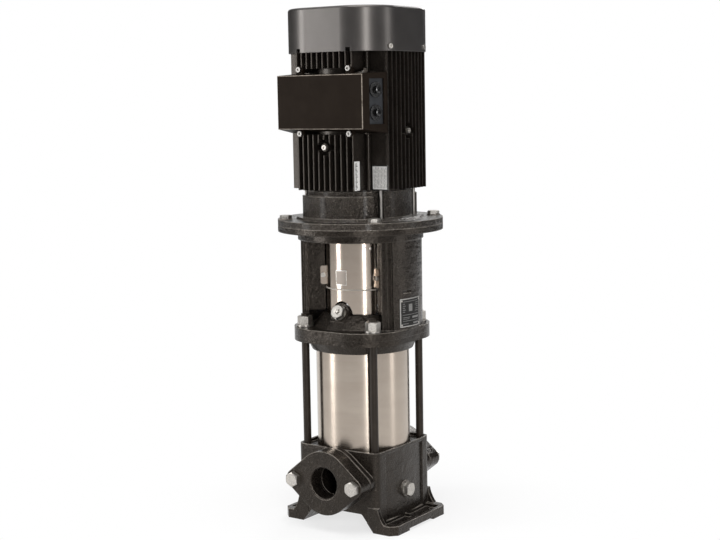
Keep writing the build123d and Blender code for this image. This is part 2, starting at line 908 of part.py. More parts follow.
def coupling_pin(gap=0.0):
    """Pin across the coupling and the pump shaft, or its hole with a gap."""
    reach = coupling_r - coupling_pin_inset
    return rod_y(coupling_pin_d / 2 + gap, -reach, reach, 0, coupling_z0 + coupling_screw_inset)


def coupling_screw_heights():
    return (coupling_z0 + coupling_screw_inset, coupling_z0 + coupling_l - coupling_screw_inset)


def coupling_half(side):
    """Half of the split coupling, on the +Y (1) or -Y (-1) side of the shaft."""
    top = coupling_z0 + coupling_l
    step = pump_shaft_z1 + 1
    shape = rod(coupling_r, coupling_z0, top)
    shape -= rod(shaft_r + fit_gap, coupling_z0 - 1, step)
    shape -= rod(motor_shaft_d / 2 + fit_gap, step, top + 1)
    shape -= coupling_pin(fit_gap)
    cut_y = side * coupling_split / 2
    shape -= bar(-coupling_r - 1, coupling_r + 1, cut_y, -side * (coupling_r + 1), coupling_z0 - 1, top + 1)
    for z in coupling_screw_heights():
        for i in both:
            x = i * coupling_screw_off
            shape -= rod_y(coupling_screw_d / 2 + fit_gap, -coupling_r, coupling_r, x, z)
            if side > 0:
                seat = coupling_seat_y()
                shape -= rod_y(coupling_screw_head_r + 0.4, seat, coupling_r + 5, x, z)
    if side > 0:
        shape -= motor_key(fit_gap)
    return shape


def coupling_seat_y():
    """Where the coupling screws' heads bear, measured from the split plane."""
    return coupling_screw_head * 2.0 - 2.0


def coupling_screws():
    length = coupling_seat_y() + coupling_split / 2 + 15
    screws = []
    for z in coupling_screw_heights():
        for i in both:
            plane = facing((i * coupling_screw_off, coupling_seat_y(), z), (0, 1, 0))
            screw = cap_screw(coupling_screw_head_r, coupling_screw_head, coupling_screw_d, length)
            screws.append(plane * screw)
    return group(screws)


def motor_key(gap=0.0):
    """Key of the motor shaft, on its +Y side."""
    z0 = motor_shaft_z0 + 2
    y_mid = motor_shaft_d / 2 - key_h * 0.6
    return bar(-key_w / 2 - gap, key_w / 2 + gap, y_mid, y_mid + key_h + gap, z0 - gap, z0 + key_l + gap)


def motor_stool():
    """Cast stool with two legs and two windows between the pump head and the motor."""
    shape = Pos(0, 0, stool_z0) * extrude(head_outline(), stool_flange_t)
    shape -= rod(dome_r_low + part_gap, stool_z0 - 1, stool_floor_z + 1)
    inner = leg_r - leg_skin_t - leg_mid_t - leg_core_t
    z0, z1 = stool_floor_z - 1, ring_z + 1
    for mid in (90, 270):
        shape += sector(leg_r, inner, mid, leg_skin_deg, z0, z1)
        shape += sector(leg_r - leg_skin_t, inner, mid, leg_mid_deg, z0, z1)
        shape += sector(leg_r - leg_skin_t - leg_mid_t, inner, mid, leg_core_deg, z0, z1)
    shape += ring(stool_ring_r, stool_ring_in_r, ring_z, stool_rim_z)
    shape += ring(rim_r, stool_ring_in_r, stool_rim_z, flange_z)
    shape -= rod(spigot_r + fit_gap, flange_z - spigot_h - 0.5, flange_z + 1)
    slot_x0, slot_x1 = stool_slot_x - stool_slot_w / 2, stool_slot_x + stool_slot_w / 2
    slot_z0, slot_z1 = stool_slot_z - stool_slot_h / 2, stool_slot_z + stool_slot_h / 2
    shape -= bar(slot_x0, slot_x1, -leg_r - 1, -leg_r + stool_slot_depth, slot_z0, slot_z1)
    for turn, side in guard_edges():
        rib = bar(guard_r + rib_guard_gap, inner + 2, 0, -side * rib_t, dome_z + guard_gap, z1)
        rib -= rod_y(guard_screw_d / 2 + fit_gap, side, -side * guard_screw_l, tab_hole_r(), guard_screw_z)
        shape += Rot(0, 0, turn) * rib
    for i, j in corners:
        x, y = i * rod_pitch / 2, j * rod_pitch / 2
        shape -= rod(rod_d / 2 + part_gap, stool_z0 - 1, stool_floor_z + 1, x, y)
    for x, y in flange_bolt_places():
        shape -= rod(flange_bolt_d / 2 + fit_gap, stool_rim_z - 1, flange_z + 1, x, y)
    return shape


def tab_hole_r():
    return guard_r + tab_out * 0.55


def guard_edges():
    """Angle of each guard edge, with the side (1 or -1) on which its window lies."""
    return [(180 - guard_deg, 1), (180 + guard_deg, -1), (guard_deg, -1), (-guard_deg, 1)]


def coupling_guard(mid, cut_for_plug):
    """Sheet-metal guard across one window, with a bead and a screw tab on each edge."""
    z0, z1 = dome_z + guard_gap, ring_z - guard_gap / 2
    shape = sector(guard_r, guard_r - guard_t, mid, guard_deg, z0, z1)
    short = [e for e in shape.edges() if abs(e.length - guard_t) < 0.01 and e.center().Z < z0 + 0.1]
    shape = fillet(short, guard_corner)
    bead = Pos(0, 0, bead_z) * Torus(guard_r - bead_r / 2, bead_r)
    keep = sector(guard_r + 5, guard_r - guard_t, mid, guard_deg - 0.5, z0, z1)
    shape += bead & keep
    for turn, side in guard_edges():
        if abs((turn - mid + 180) % 360 - 180) > guard_deg + 1:
            continue
        r0, r1 = guard_r - guard_t, guard_r + tab_out
        tab = extrude(RectangleRounded(tab_out + tab_round * 2, tab_h, tab_round), guard_t)
        tab = Pos(r1 - tab_out / 2 - tab_round, 0, guard_screw_z) * Rot(90, 0, 0) * tab
        tab = Pos(0, guard_t, 0) * tab if side > 0 else tab
        tab &= bar(r0 + 0.2, r1 + 1, -5, 5, z0, z1)
        tab -= rod_y(guard_screw_d / 2 + part_gap, -5, 5, tab_hole_r(), guard_screw_z)
        shape += Rot(0, 0, turn) * tab
    if cut_for_plug:
        shape -= facing(plug_origin, plug_axis) * rod(plug_boss_r + guard_plug_gap, -40, 40)
    return shape


def guard_screws():
    screws = []
    for turn, side in guard_edges():
        plane = facing((tab_hole_r(), side * guard_t, guard_screw_z), (0, side, 0))
        screw = plane * cap_screw(guard_screw_head_r, guard_screw_head, guard_screw_d, guard_screw_l)
        screws.append(Rot(0, 0, turn) * screw)
    return group(screws)


def type_plate():
    """Curved blank plate on the -Y leg of the stool."""
    mid, half = type_plate_span()
    z0, z1 = stool_plate_z - stool_plate_h / 2, stool_plate_z + stool_plate_h / 2
    return sector(leg_r + plate_gap + plate_t, leg_r + plate_gap, mid, half, z0, z1)


def type_plate_span():
    """Middle angle and half width in degrees of the plate on the stool."""
    mid = 270 + math.degrees(math.asin(stool_plate_x / leg_r))
    half = math.degrees(math.asin(stool_plate_w / 2 / leg_r))
    return mid, half


def type_plate_rivets():
    mid, half = type_plate_span()
    rivets = []
    for i, j in corners:
        deg = mid + i * (half - 2.0)
        z = stool_plate_z + j * (stool_plate_h / 2 - 4.0)
        x, y = polar(leg_r + plate_gap + plate_t, deg)
        rivets.append(facing((x, y, z), (*polar(1, deg), 0)) * rod(rivet_r, rivet_lift, rivet_h))
    return group(rivets)


def flange_bolt_places():
    return [polar(motor_bolt_circle_r, 45 + 90 * k) for k in range(4)]


def motor_flange_bolts():
    length = bolt_pad_h + motor_rim_t + stool_rim_t - flange_bolt_inset
    bolts = []
    for x, y in flange_bolt_places():
        bolt = hex_bolt(flange_bolt_af, flange_bolt_head, flange_bolt_d, length)
        bolts.append(Pos(x, y, flange_top_z + bolt_pad_h) * bolt)
    return group(bolts)


def tie_rod_places():
    return [(i * groove_mid, j * tie_rod_y) for i, j in corners]


def motor_flange():
    """Drive-end shield: round flange, stepped hub and a neck that holds the bearing."""
    shape = rod(rim_r, flange_z, flange_top_z) + rod(spigot_r, flange_z - spigot_h, flange_z + 1)
    shape += cone(hub_step_r, hub_step_r - hub_step_h, flange_top_z, hub_z)
    shape += rod(neck_r, flange_top_z, neck_top_z)
    for mid in (0, 180):
        pad_top = flange_top_z + neck_pad_top
        shape += sector(neck_pad_r, neck_r - 10, mid, neck_pad_deg, flange_top_z, pad_top)
    for x, y in flange_bolt_places():
        shape += rod(bolt_pad_r, flange_top_z - 1, flange_top_z + bolt_pad_h, x, y)
        shape -= rod(flange_bolt_d / 2 + fit_gap, flange_z - 1, flange_top_z + bolt_pad_h + 1, x, y)
    for side in both:
        for deg in (channel_deg, -channel_deg):
            turn = deg if side > 0 else 180 + deg
            half_w = channel_w / 2
            groove = bar(channel_floor_r, neck_pad_r + 5, -half_w, half_w, hub_z, neck_top_z + 1)
            shape -= Rot(0, 0, turn) * groove
    shape += ring(frame_bore_r + 4, neck_bore_r, neck_top_z - 1, frame_z0)
    shape += ring(frame_bore_r - fit_gap, neck_bore_r, frame_z0 - 1, frame_z0 + 6)
    shape -= rod(neck_bore_r, hub_z + 2, drive_bearing_z - 2)
    seat_r = drive_bearing_od / 2 + fit_gap
    shape += ring(seat_r + bearing_seat_wall, seat_r, drive_bearing_z - bearing_cover, neck_top_z)
    shape -= rod(seat_r, drive_bearing_z, frame_z0 + 10)
    shape -= rod(neck_bore_r, neck_top_z, frame_z0 + 10)
    shape -= rod(motor_shaft_d / 2 + 1.5, flange_z - 10, drive_bearing_z + 1)
    for x, y in tie_rod_places():
        shape -= rod(tie_rod_d / 2 + fit_gap, hub_z - tie_rod_grip, hub_z + 1, x, y)
    return shape


def tie_rods():
    """Long bolts from the fan-end shield down to the motor flange."""
    rods = []
    length = shield_z1 - hub_z + tie_rod_grip
    for x, y in tie_rod_places():
        rods.append(Pos(x, y, shield_z1) * hex_bolt(tie_rod_af, tie_rod_head, tie_rod_d, length))
    return group(rods)


def fin_height(offset):
    """How far a fin reaches from the shaft, for its distance from the middle of its side."""
    return fin_mid - (fin_mid - fin_end) * (offset / fin_half) ** 2


def frame_section():
    """Cross-section of the motor frame: barrel, four blocks of fins and corner beads."""
    section = Circle(barrel_r)
    for k in range(fin_count):
        offset = -fin_half + k * fin_pitch
        reach = 2 * fin_height(offset)
        section += Pos(offset, 0) * Rectangle(fin_t, reach)
        section += Pos(0, offset) * Rectangle(reach, fin_t)
    for i, j in corners:
        x, y = polar(bead_corner_r, 45)
        section += Pos(i * x, j * y) * Circle(bead_corner_d / 2)
    return section


def face_plug_planes():
    """Plane of each screwed boss in the middle of a side, facing outwards."""
    reach = fin_mid - 3
    low, high = frame_z0 + face_plug_up_front, frame_z0 + face_plug_up_side
    places = [(-1, 0, low), (1, 0, high), (0, -1, high), (0, 1, high)]
    return [facing((reach * x, reach * y, z), (x, y, 0)) for x, y, z in places]


def lid_screw_heights():
    return (box_low_z, box_high_z + lid_screw_high)


def lid_posts(gap=0.0):
    """Posts on the frame that take the screws of the terminal lid."""
    posts = []
    for z in lid_screw_heights():
        for j in both:
            x0, x1 = -lid_ear_face_x + lid_ear_t, -barrel_r * 0.6
            posts.append(rod_x(lid_post_r + gap, x0, x1, j * groove_mid, z))
    return posts


def lid_screw_holes():
    holes = []
    for z in lid_screw_heights():
        for j in both:
            x1 = -lid_ear_face_x + lid_screw_l + 1
            holes.append(rod_x(lid_screw_d / 2 + fit_gap, -lid_ear_face_x - 1, x1, j * groove_mid, z))
    return holes


def motor_frame():
    """Finned motor frame, cut back where the terminal box sits."""
    shape = Pos(0, 0, frame_z0) * extrude(frame_section(), frame_h)
    low, high = box_low_z - box_gap_low, box_high_z + box_gap_top
    pocket = bar(-fin_mid - 5, -box_rear_x + 1, -fin_mid - 5, fin_mid + 5, low, high)
    shape -= pocket - rod(barrel_r, low - 1, high + 1)
    for z in lid_screw_heights():
        for j in both:
            shape -= rod_x(lid_ear_r + 0.8, -fin_mid - 5, -lid_ear_face_x + lid_ear_t, j * groove_mid, z)
    for post in lid_posts():
        shape += post
    for hole in lid_screw_holes():
        shape -= hole
    for plane in face_plug_planes():
        gap = bar(-face_plug_gap, face_plug_gap, -face_plug_gap, face_plug_gap, -14, 5)
        shape -= plane * (gap & rod(face_plug_gap, -14, 5))
        shape += plane * rod(face_plug_r, -fin_mid + barrel_r, 0)
        shape -= plane * rod(cover_screw_d / 2 + fit_gap, -face_plug_screw_l, 1)
    shape -= rod(frame_bore_r, frame_z0 - 1, frame_z1 + 1)
    return shape


def face_plugs():
    screw = cap_screw(face_plug_screw_r, face_plug_screw_h, cover_screw_d, face_plug_screw_l)
    return group([plane * screw for plane in face_plug_planes()])


def stator_core():
    return ring(frame_bore_r - fit_gap, core_bore_r, core_z0, core_z1)


def windings():
    outer = frame_bore_r - 5
    ends = []
    for z0, z1 in ((core_z0 - winding_h, core_z0), (core_z1, core_z1 + winding_h)):
        coil = ring(outer, outer - winding_wall, z0, z1)
        ends.append(fillet(coil.edges().filter_by(GeomType.CIRCLE), winding_wall * 0.3))
    return group(ends)


def motor_shaft():
    """Stepped motor shaft with a keyway in its lower end."""
    fan_top = fan_z0 + fan_h
    shape = rod(motor_shaft_d / 2, motor_shaft_z0, drive_bearing_z)
    shape += rod(drive_bearing_bore / 2 - fit_gap, drive_bearing_z, drive_bearing_z + drive_bearing_w)
    shape += rod(motor_shaft_mid_d / 2, drive_bearing_z + drive_bearing_w, fan_bearing_z)
    shape += rod(fan_bearing_bore / 2 - fit_gap, fan_bearing_z, fan_bearing_z + fan_bearing_w)
    shape += rod(fan_shaft_d / 2, fan_bearing_z + fan_bearing_w, fan_top)
    return shape - motor_key(fit_gap)


def rotor_core():
    outer = core_bore_r - rotor_gap
    inner = motor_shaft_mid_d / 2 + fit_gap
    shape = ring(outer, inner, core_z0, core_z1)
    for z0, z1 in ((core_z0 - rotor_ring_h, core_z0), (core_z1, core_z1 + rotor_ring_h)):
        shape += ring(outer - 1.5, outer - 14, z0, z1)
    return shape


def bearing_radii(bore, od, ball_d):
    """Pitch radius and the two race radii of a deep-groove bearing."""
    pitch = (bore + od) / 4
    return pitch, pitch - ball_d * race_share, pitch + ball_d * race_share


def bearing_sizes():
    drive = (drive_bearing_bore, drive_bearing_od, drive_ball_d, drive_bearing_z, drive_bearing_w)
    fan = (fan_bearing_bore, fan_bearing_od, fan_ball_d, fan_bearing_z, fan_bearing_w)
    return drive, fan


def bearing_race(bore, od, ball_d, z0, w, outer):
    pitch, inner_r, outer_r = bearing_radii(bore, od, ball_d)
    groove = Pos(0, 0, z0 + w / 2) * Torus(pitch, ball_d / 2 + part_gap)
    if outer:
        return ring(od / 2, outer_r, z0, z0 + w) - groove
    return ring(inner_r, bore / 2, z0, z0 + w) - groove


def bearing_outer_rings():
    return group([bearing_race(*size, outer=True) for size in bearing_sizes()])


def bearing_inner_rings():
    return group([bearing_race(*size, outer=False) for size in bearing_sizes()])


def bearing_balls(bore, od, ball_d, z0, w):
    pitch = bearing_radii(bore, od, ball_d)[0]
    balls = []
    for k in range(ball_count):
        x, y = polar(pitch, k * 360 / ball_count)
        balls.append(Pos(x, y, z0 + w / 2) * Sphere(ball_d / 2))
    return group(balls)


def fan_end_shield():
    """Plate on top of the frame that carries the upper bearing and the fan cover."""
    shape = rod(shield_r, frame_z1, shield_z1) + rod(shield_hub_r, frame_z1 - shield_hub_drop, shield_z1)
    inner = cover_half - cover_wall - part_gap
    outline = RectangleRounded(2 * inner, 2 * inner, cover_corner - cover_wall)
    limit = Pos(0, 0, frame_z1) * extrude(outline, shield_t)
    for i, j in corners:
        x0, x1 = i * (groove_mid - shield_arm_w / 2), i * (groove_mid + shield_arm_w / 2)
        shape += bar(x0, x1, j * shield_r * 0.6, j * cover_half, frame_z1, shield_z1) & limit
    shape -= rod(fan_bearing_od / 2 + fit_gap, fan_bearing_z, shield_z1 + 1)
    shape -= rod(fan_bearing_bore / 2 + 8, frame_z1 - shield_hub_drop - 1, fan_bearing_z + 1)
    for x, y in tie_rod_places():
        shape -= rod(tie_rod_d / 2 + part_gap, frame_z1 - 1, shield_z1 + 1, x, y)
    for plane in cover_screw_planes():
        shape -= plane * rod(cover_screw_d / 2 + fit_gap, -cover_screw_l - 2, 1)
    return shape


def cover_screw_planes():
    """Plane of each cover screw, square to the rounded side of the cover."""
    centre = cover_half - cover_corner
    lean = math.asin((cover_screw_x - centre) / cover_corner)
    z = frame_z1 + cover_screw_z
    planes = []
    for i, j in corners:
        nx, ny = i * math.sin(lean), j * math.cos(lean)
        origin = (i * centre + cover_corner * nx, j * centre + cover_corner * ny, z)
        planes.append(facing(origin, (nx, ny, 0)))
    return planes


def cover_screws():
    lift = 0.2
    screws = []
    for plane in cover_screw_planes():
        screw = cap_screw(cover_screw_head_r, cover_screw_head, cover_screw_d, cover_screw_l + lift)
        screws.append(plane * Pos(0, 0, lift) * screw)
    return group(screws)


def fan():
    """Radial fan on the top end of the motor shaft."""
    top = fan_z0 + fan_h
    shape = rod(fan_r, fan_z0, fan_z0 + fan_plate_t) + rod(fan_hub_r, fan_z0, top)
    for k in range(fan_blades):
        vane = bar(fan_hub_r - 2, fan_r, -fan_plate_t / 2, fan_plate_t / 2, fan_z0 + 1, top)
        shape += Rot(0, 0, k * 360 / fan_blades) * vane
    return shape - rod(fan_shaft_d / 2 + fit_gap, fan_z0 - 1, top + 1)


def fan_cover():
    """Rounded-square fan cover with a ring-slot grille on top."""
    shape = extrude(RectangleRounded(2 * cover_half, 2 * cover_half, cover_corner), cover_h)
    shape = fillet(shape.edges().group_by(Axis.Z)[-1], cover_round)
    inner = cover_half - cover_wall
    outline = RectangleRounded(2 * inner, 2 * inner, cover_corner - cover_wall)
    shape -= Pos(0, 0, -1) * extrude(outline, cover_h - cover_wall + 1)
    slots = grille_slots()
    shape -= Pos(0, 0, cover_h - cover_wall - 1) * slots
    shape = Pos(0, 0, frame_z1) * shape
    for j in both:
        y0, y1 = j * groove_mid - cover_notch_w / 2, j * groove_mid + cover_notch_w / 2
        notch_z1 = frame_z1 + cover_notch_h
        shape -= bar(-cover_half - 1, -cover_half + 10, y0, y1, frame_z1 - 1, notch_z1)
    for plane in cover_screw_planes():
        shape -= plane * rod(cover_screw_d / 2 + part_gap, -6, 2)
    return shape


def grille_slots():
    """Ring slots of the grille, broken by the spokes."""
    depth = cover_wall + 2
    slots = None
    for k in range(grille_rings):
        r0 = grille_core_r + k * (grille_slot + grille_bar)
        slot = ring(r0 + grille_slot, r0, 0, depth)
        slots = slot if slots is None else slots + slot
    reach = grille_core_r + grille_rings * (grille_slot + grille_bar)
    for k in range(grille_spokes):
        spoke = bar(0, reach, -grille_spoke_w / 2, grille_spoke_w / 2, -1, depth + 1)
        slots -= Rot(0, 0, k * 360 / grille_spokes) * spoke
    return slots


def box_section(x, inset):
    """Cross-section of the tapered terminal box at the distance x from the shaft."""
    share = (x - box_rear_x) / (box_front_x - box_rear_x)
    half_y = box_rear_half_y + (box_front_half_y - box_rear_half_y) * share - inset
    low = box_low_z + (box_front_low_z - box_low_z) * share + inset
    high = box_high_z + (box_front_high_z - box_high_z) * share - inset
    corners_3d = [(-x, -half_y, low), (-x, half_y, low), (-x, half_y, high), (-x, -half_y, high)]
    return make_face(Polyline(*corners_3d, close=True))


def tapered_box(x0, x1, inset):
    return loft([box_section(x0, inset), box_section(x1, inset)])


def terminal_lid():
    """Deep lid over the terminal box, with four screw ears and a window for the cable entries."""
    outer = tapered_box(box_rear_x, box_front_x, 0.0)
    front = outer.faces().sort_by(Axis.X)[0]
    outer = fillet(front.edges(), 2.5)
    shape = outer - tapered_box(box_rear_x - 1, box_front_x - lid_wall, lid_wall)
    shape -= rod(barrel_r + part_gap, box_low_z - 5, box_high_z + 5)
    shape -= bar(
        -lid_window_front, -lid_window_rear, -box_rear_half_y - 5, -box_front_half_y + 15,
        box_front_low_z + lid_window_margin, box_front_high_z - lid_window_margin,
    )
    ear_x = -lid_ear_face_x
    for z in lid_screw_heights():
        top = z > box_high_z
        wall = box_front_high_z - 1 if top else box_front_low_z - 1.5
        for j in both:
            y = j * groove_mid
            ear = rod_x(lid_ear_r, ear_x, ear_x + lid_ear_t, y, z)
            ear += bar(ear_x, ear_x + lid_ear_t, y - lid_ear_r, y + lid_ear_r, min(z, wall), max(z, wall))
            shape += ear
    for post in lid_posts(part_gap):
        shape -= post
    for hole in lid_screw_holes():
        shape -= hole
    return shape


def entry_planes():
    """Plane of each cable entry, square to the slanted -Y wall of the terminal box."""
    slope = (box_rear_half_y - box_front_half_y) / (box_front_x - box_rear_x)
    length = math.hypot(1, slope)
    normal = (-slope / length, -1 / length, 0)
    wall_y = box_rear_half_y - slope * (entry_x - box_rear_x) - lid_wall - part_gap
    mid_z = (box_front_low_z + box_front_high_z) / 2
    return [facing((-entry_x, -wall_y, mid_z + k * entry_pitch / 2), normal) for k in both]


def terminal_box():
    """Box behind the lid, open to the front, seated on the barrel of the frame."""
    shape = tapered_box(box_rear_x, box_face_x, lid_wall + part_gap)
    shape -= rod(barrel_r + fit_gap, box_low_z - 5, box_high_z + 5)
    cavity = tapered_box(box_rear_x + box_wall, box_face_x + 1, lid_wall + part_gap + box_wall)
    cavity -= rod(barrel_r + box_wall, box_low_z - 5, box_high_z + 5)
    shape -= cavity
    for post in lid_posts(part_gap):
        shape -= post
    for plane in entry_planes():
        shape -= plane * rod(entry_r + fit_gap, -12, 3)
    return shape


def blanking_plugs():
    plugs = []
    for plane in entry_planes():
        plug = rod(entry_flange_r, 0.05, entry_flange_t) + rod(entry_r, -entry_depth, 1)
        plug -= rod(entry_r * 0.55, entry_flange_t - 1.2, entry_flange_t + 1)
        plugs.append(plane * plug)
    return group(plugs)


def terminal_block():
    """Block with six terminal posts on the floor of the box."""
    x0 = -barrel_r - box_wall - 0.1
    z_mid = (box_front_low_z + box_front_high_z) / 2
    x1 = x0 - terminal_depth
    block = bar(x0, x1, -terminal_w / 2, terminal_w / 2, z_mid - terminal_h / 2, z_mid + terminal_h / 2)
    per_row = terminal_posts // 2
    pitch = terminal_w / per_row
    for row in both:
        for k in range(per_row):
            y = (k - (per_row - 1) / 2) * pitch
            block += rod_x(terminal_post_r, x1 - terminal_post_l, x1 + 1, y, z_mid + row * terminal_h / 4)
    return block


def lid_screws():
    screws = []
    for z in lid_screw_heights():
        for j in both:
            plane = facing((-lid_ear_face_x, j * groove_mid, z), (-1, 0, 0))
            screws.append(plane * cap_screw(lid_screw_head_r, lid_screw_head, lid_screw_d, lid_screw_l))
    return group(screws)


def rating_plate():
    """Blank plate on the side wall of the -Y block of fins."""
    y0 = -fin_end + rating_inset
    z0, z1 = rating_z - rating_h / 2, rating_z + rating_h / 2
    return bar(-block_half - plate_t, -block_half, y0, y0 + rating_w, max(z0, frame_z0), z1)


def frame_label():
    """Blank paper label on the side wall of the -X block of fins."""
    x0 = -fin_end + sticker_inset
    z0, z1 = sticker_z - sticker_h / 2, sticker_z + sticker_h / 2
    return bar(x0, x0 + sticker_w, -block_half - sticker_t, -block_half, z0, z1)


drive_bearing, fan_bearing = bearing_sizes()
nodes = {
    "base": base(),
    "inlet_flange": counter_flange(-1),
    "outlet_flange": counter_flange(1),
    "port_gaskets": port_gaskets(),
    "port_flange_bolts": port_flange_bolts(),
    "drain_plug": drain_plug(),
    "plug_washers": plug_washers(),
    "outer_sleeve": ring(sleeve_r, sleeve_in_r, sleeve_z0, sleeve_z1),
    "sleeve_o_rings": sleeve_o_rings(),
    "staybolts": staybolts(),
    "staybolt_washers": staybolt_washers(),
    "staybolt_nuts": staybolt_nuts(),
    "pump_head": pump_head(),
    "priming_plug": priming_plug(),
    "vent_screw": vent_screw(),
    "stage_chambers": stage_chambers(),
    "guide_vanes": guide_vanes_set(),
    "neck_rings": neck_rings(),
    "top_chamber": top_chamber(),
    "shaft_bush": shaft_bush(),
    "impellers": impellers(),
    "impeller_spacers": impeller_spacers(),
    "impeller_nut": impeller_nut(),
    "pump_shaft": pump_shaft(),
    "shaft_seal_seat": shaft_seal_seat(),
    "shaft_seal_head": shaft_seal_head(),
    "coupling_half_left": coupling_half(1),
    "coupling_half_right": coupling_half(-1),
    "coupling_screws": coupling_screws(),
    "coupling_pin": coupling_pin(),
    "motor_stool": motor_stool(),
    "coupling_guard_front": coupling_guard(180, True),
    "coupling_guard_rear": coupling_guard(0, False),
    "guard_screws": guard_screws(),
    "type_plate": type_plate(),
    "type_plate_rivets": type_plate_rivets(),
    "motor_flange": motor_flange(),
    "motor_flange_bolts": motor_flange_bolts(),
    "tie_rods": tie_rods(),
    "motor_frame": motor_frame(),
    "face_plugs": face_plugs(),
    "stator_core": stator_core(),
    "windings": windings(),
    "motor_shaft": motor_shaft(),
    "shaft_key": motor_key(),
    "rotor_core": rotor_core(),
    "bearing_outer_rings": bearing_outer_rings(),
    "bearing_inner_rings": bearing_inner_rings(),
    "drive_bearing_balls": bearing_balls(*drive_bearing),
    "fan_bearing_balls": bearing_balls(*fan_bearing),
    "fan_end_shield": fan_end_shield(),
    "cooling_fan": fan(),
    "fan_cover": fan_cover(),
    "fan_cover_screws": cover_screws(),
    "terminal_box": terminal_box(),
    "terminal_lid": terminal_lid(),
    "terminal_lid_screws": lid_screws(),
    "terminal_block": terminal_block(),
    "blanking_plugs": blanking_plugs(),
    "nameplates": group([rating_plate(), frame_label()]),
}

os.makedirs("parts", exist_ok=True)
for name, shape in nodes.items():
    export_step(shape, f"parts/{name}.step")
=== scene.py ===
"""Looks for the vertical multistage pump: materials, trim, studio light and camera.

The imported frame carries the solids, and everything here is placed in its coordinates.
"""

import json
import math

import bmesh
import bpy
from mathutils import Matrix, Vector

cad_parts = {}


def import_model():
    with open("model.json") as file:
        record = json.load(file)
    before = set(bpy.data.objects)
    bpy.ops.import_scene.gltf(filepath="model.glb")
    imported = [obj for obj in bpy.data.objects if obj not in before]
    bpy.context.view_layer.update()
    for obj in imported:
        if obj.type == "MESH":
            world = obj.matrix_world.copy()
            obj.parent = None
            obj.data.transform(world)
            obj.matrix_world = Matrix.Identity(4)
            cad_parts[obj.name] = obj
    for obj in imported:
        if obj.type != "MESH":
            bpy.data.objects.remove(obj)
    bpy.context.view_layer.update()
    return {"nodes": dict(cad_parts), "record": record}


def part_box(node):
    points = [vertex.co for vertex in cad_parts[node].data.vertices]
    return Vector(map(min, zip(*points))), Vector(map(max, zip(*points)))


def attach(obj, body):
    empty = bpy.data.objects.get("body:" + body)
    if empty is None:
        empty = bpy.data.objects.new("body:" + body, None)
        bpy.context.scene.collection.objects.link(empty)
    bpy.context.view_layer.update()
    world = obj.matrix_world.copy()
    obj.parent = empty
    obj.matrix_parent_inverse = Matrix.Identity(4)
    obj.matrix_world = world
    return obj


MM = 0.001
BEVEL_SAMPLES = 6

# Paint: tint of its gloss, gloss of a clear coat, size of the clouds in its colour, noise range of its pale
# specks (partly flecks, partly painted glints)
PAINT_TINT = (1.0, 0.87, 0.75, 1.0)
COAT_ROUGHNESS = 0.12
CLOUD_SCALE = 28.0
SPECK_AND_GLINT_RANGE = (0.56, 0.74)

# Lighter edges, partly rubbed wear and partly a painted highlight from the light above: how well the rounded
# normal matches the face's own from lightened to plain, how far up it must look, what is left below that, and
# the noise that breaks the lines
EDGE_MATCH = (0.86, 0.985)
EDGE_UP_FOR_HIGHLIGHT = (0.1, 0.4)
WEAR_AND_HIGHLIGHT_BELOW = 0.12
FILLET_MATCH = (0.8, 0.95)
EDGE_BREAK_SCALE = 75.0
EDGE_BREAK_RANGE = (0.36, 0.56)
EDGE_BREAK_LEAST = 0.4

# Brushed sheet: stretch of the noise along x, y and z for its lines, streaks and clouds, and the share
# that clouds and streaks have in its colour
LINE_STRETCH = (3, 3, 1500)
STREAK_STRETCH = (4, 4, 420)
CLOUD_STRETCH = (1, 1, 3)
CLOUD_SHARE = 0.8
STREAK_SHARE = 0.2

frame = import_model()
nodes = frame["nodes"]


# Node helpers

def new_material(name):
    """New node material, its tree and its Principled shader."""
    mat = bpy.data.materials.new(name)
    mat.use_nodes = True
    tree = mat.node_tree
    shader = tree.nodes["Principled BSDF"]
    return mat, tree, shader


def add(tree, kind, **properties):
    """Adds a node and sets its properties."""
    node = tree.nodes.new(kind)
    for key, value in properties.items():
        setattr(node, key, value)
    return node


def link(tree, source, target):
    tree.links.new(source, target)


def coordinates(tree, scale=(1, 1, 1)):
    """Object coordinates in metres, stretched by scale."""
    place = add(tree, "ShaderNodeTexCoord")
    mapping = add(tree, "ShaderNodeMapping")
    mapping.inputs["Scale"].default_value = scale
    link(tree, place.outputs["Object"], mapping.inputs["Vector"])
    return mapping.outputs["Vector"]


def noise(tree, vector, scale, detail=3.0, roughness=0.55):
    node = add(tree, "ShaderNodeTexNoise")
    node.inputs["Scale"].default_value = scale
    node.inputs["Detail"].default_value = detail
    node.inputs["Roughness"].default_value = roughness
    link(tree, vector, node.inputs["Vector"])
    return node.outputs["Fac"]


def ramp(tree, factor, stops):
    """Colour ramp of (position, colour) stops."""
    node = add(tree, "ShaderNodeValToRGB")
    while len(node.color_ramp.elements) > len(stops):
        node.color_ramp.elements.remove(node.color_ramp.elements[-1])
    while len(node.color_ramp.elements) < len(stops):
        node.color_ramp.elements.new(1.0)
    for element, (position, colour) in zip(node.color_ramp.elements, stops):
        element.position = position
        element.color = (*colour, 1) if len(colour) == 3 else colour
    link(tree, factor, node.inputs["Fac"])
    return node.outputs["Color"]


def spread(tree, factor, low, high, start=0.3, end=0.7):
    """Maps a noise value onto the range low to high."""
    node = add(tree, "ShaderNodeMapRange")
    node.inputs["From Min"].default_value = start
    node.inputs["From Max"].default_value = end
    node.inputs["To Min"].default_value = low
    node.inputs["To Max"].default_value = high
    link(tree, factor, node.inputs["Value"])
    return node.outputs["Result"]


def edge_normal(tree, radius):
    """Normal rounded over the edges by radius."""
    node = add(tree, "ShaderNodeBevel")
    node.samples = BEVEL_SAMPLES
    node.inputs["Radius"].default_value = radius
    return node.outputs["Normal"]


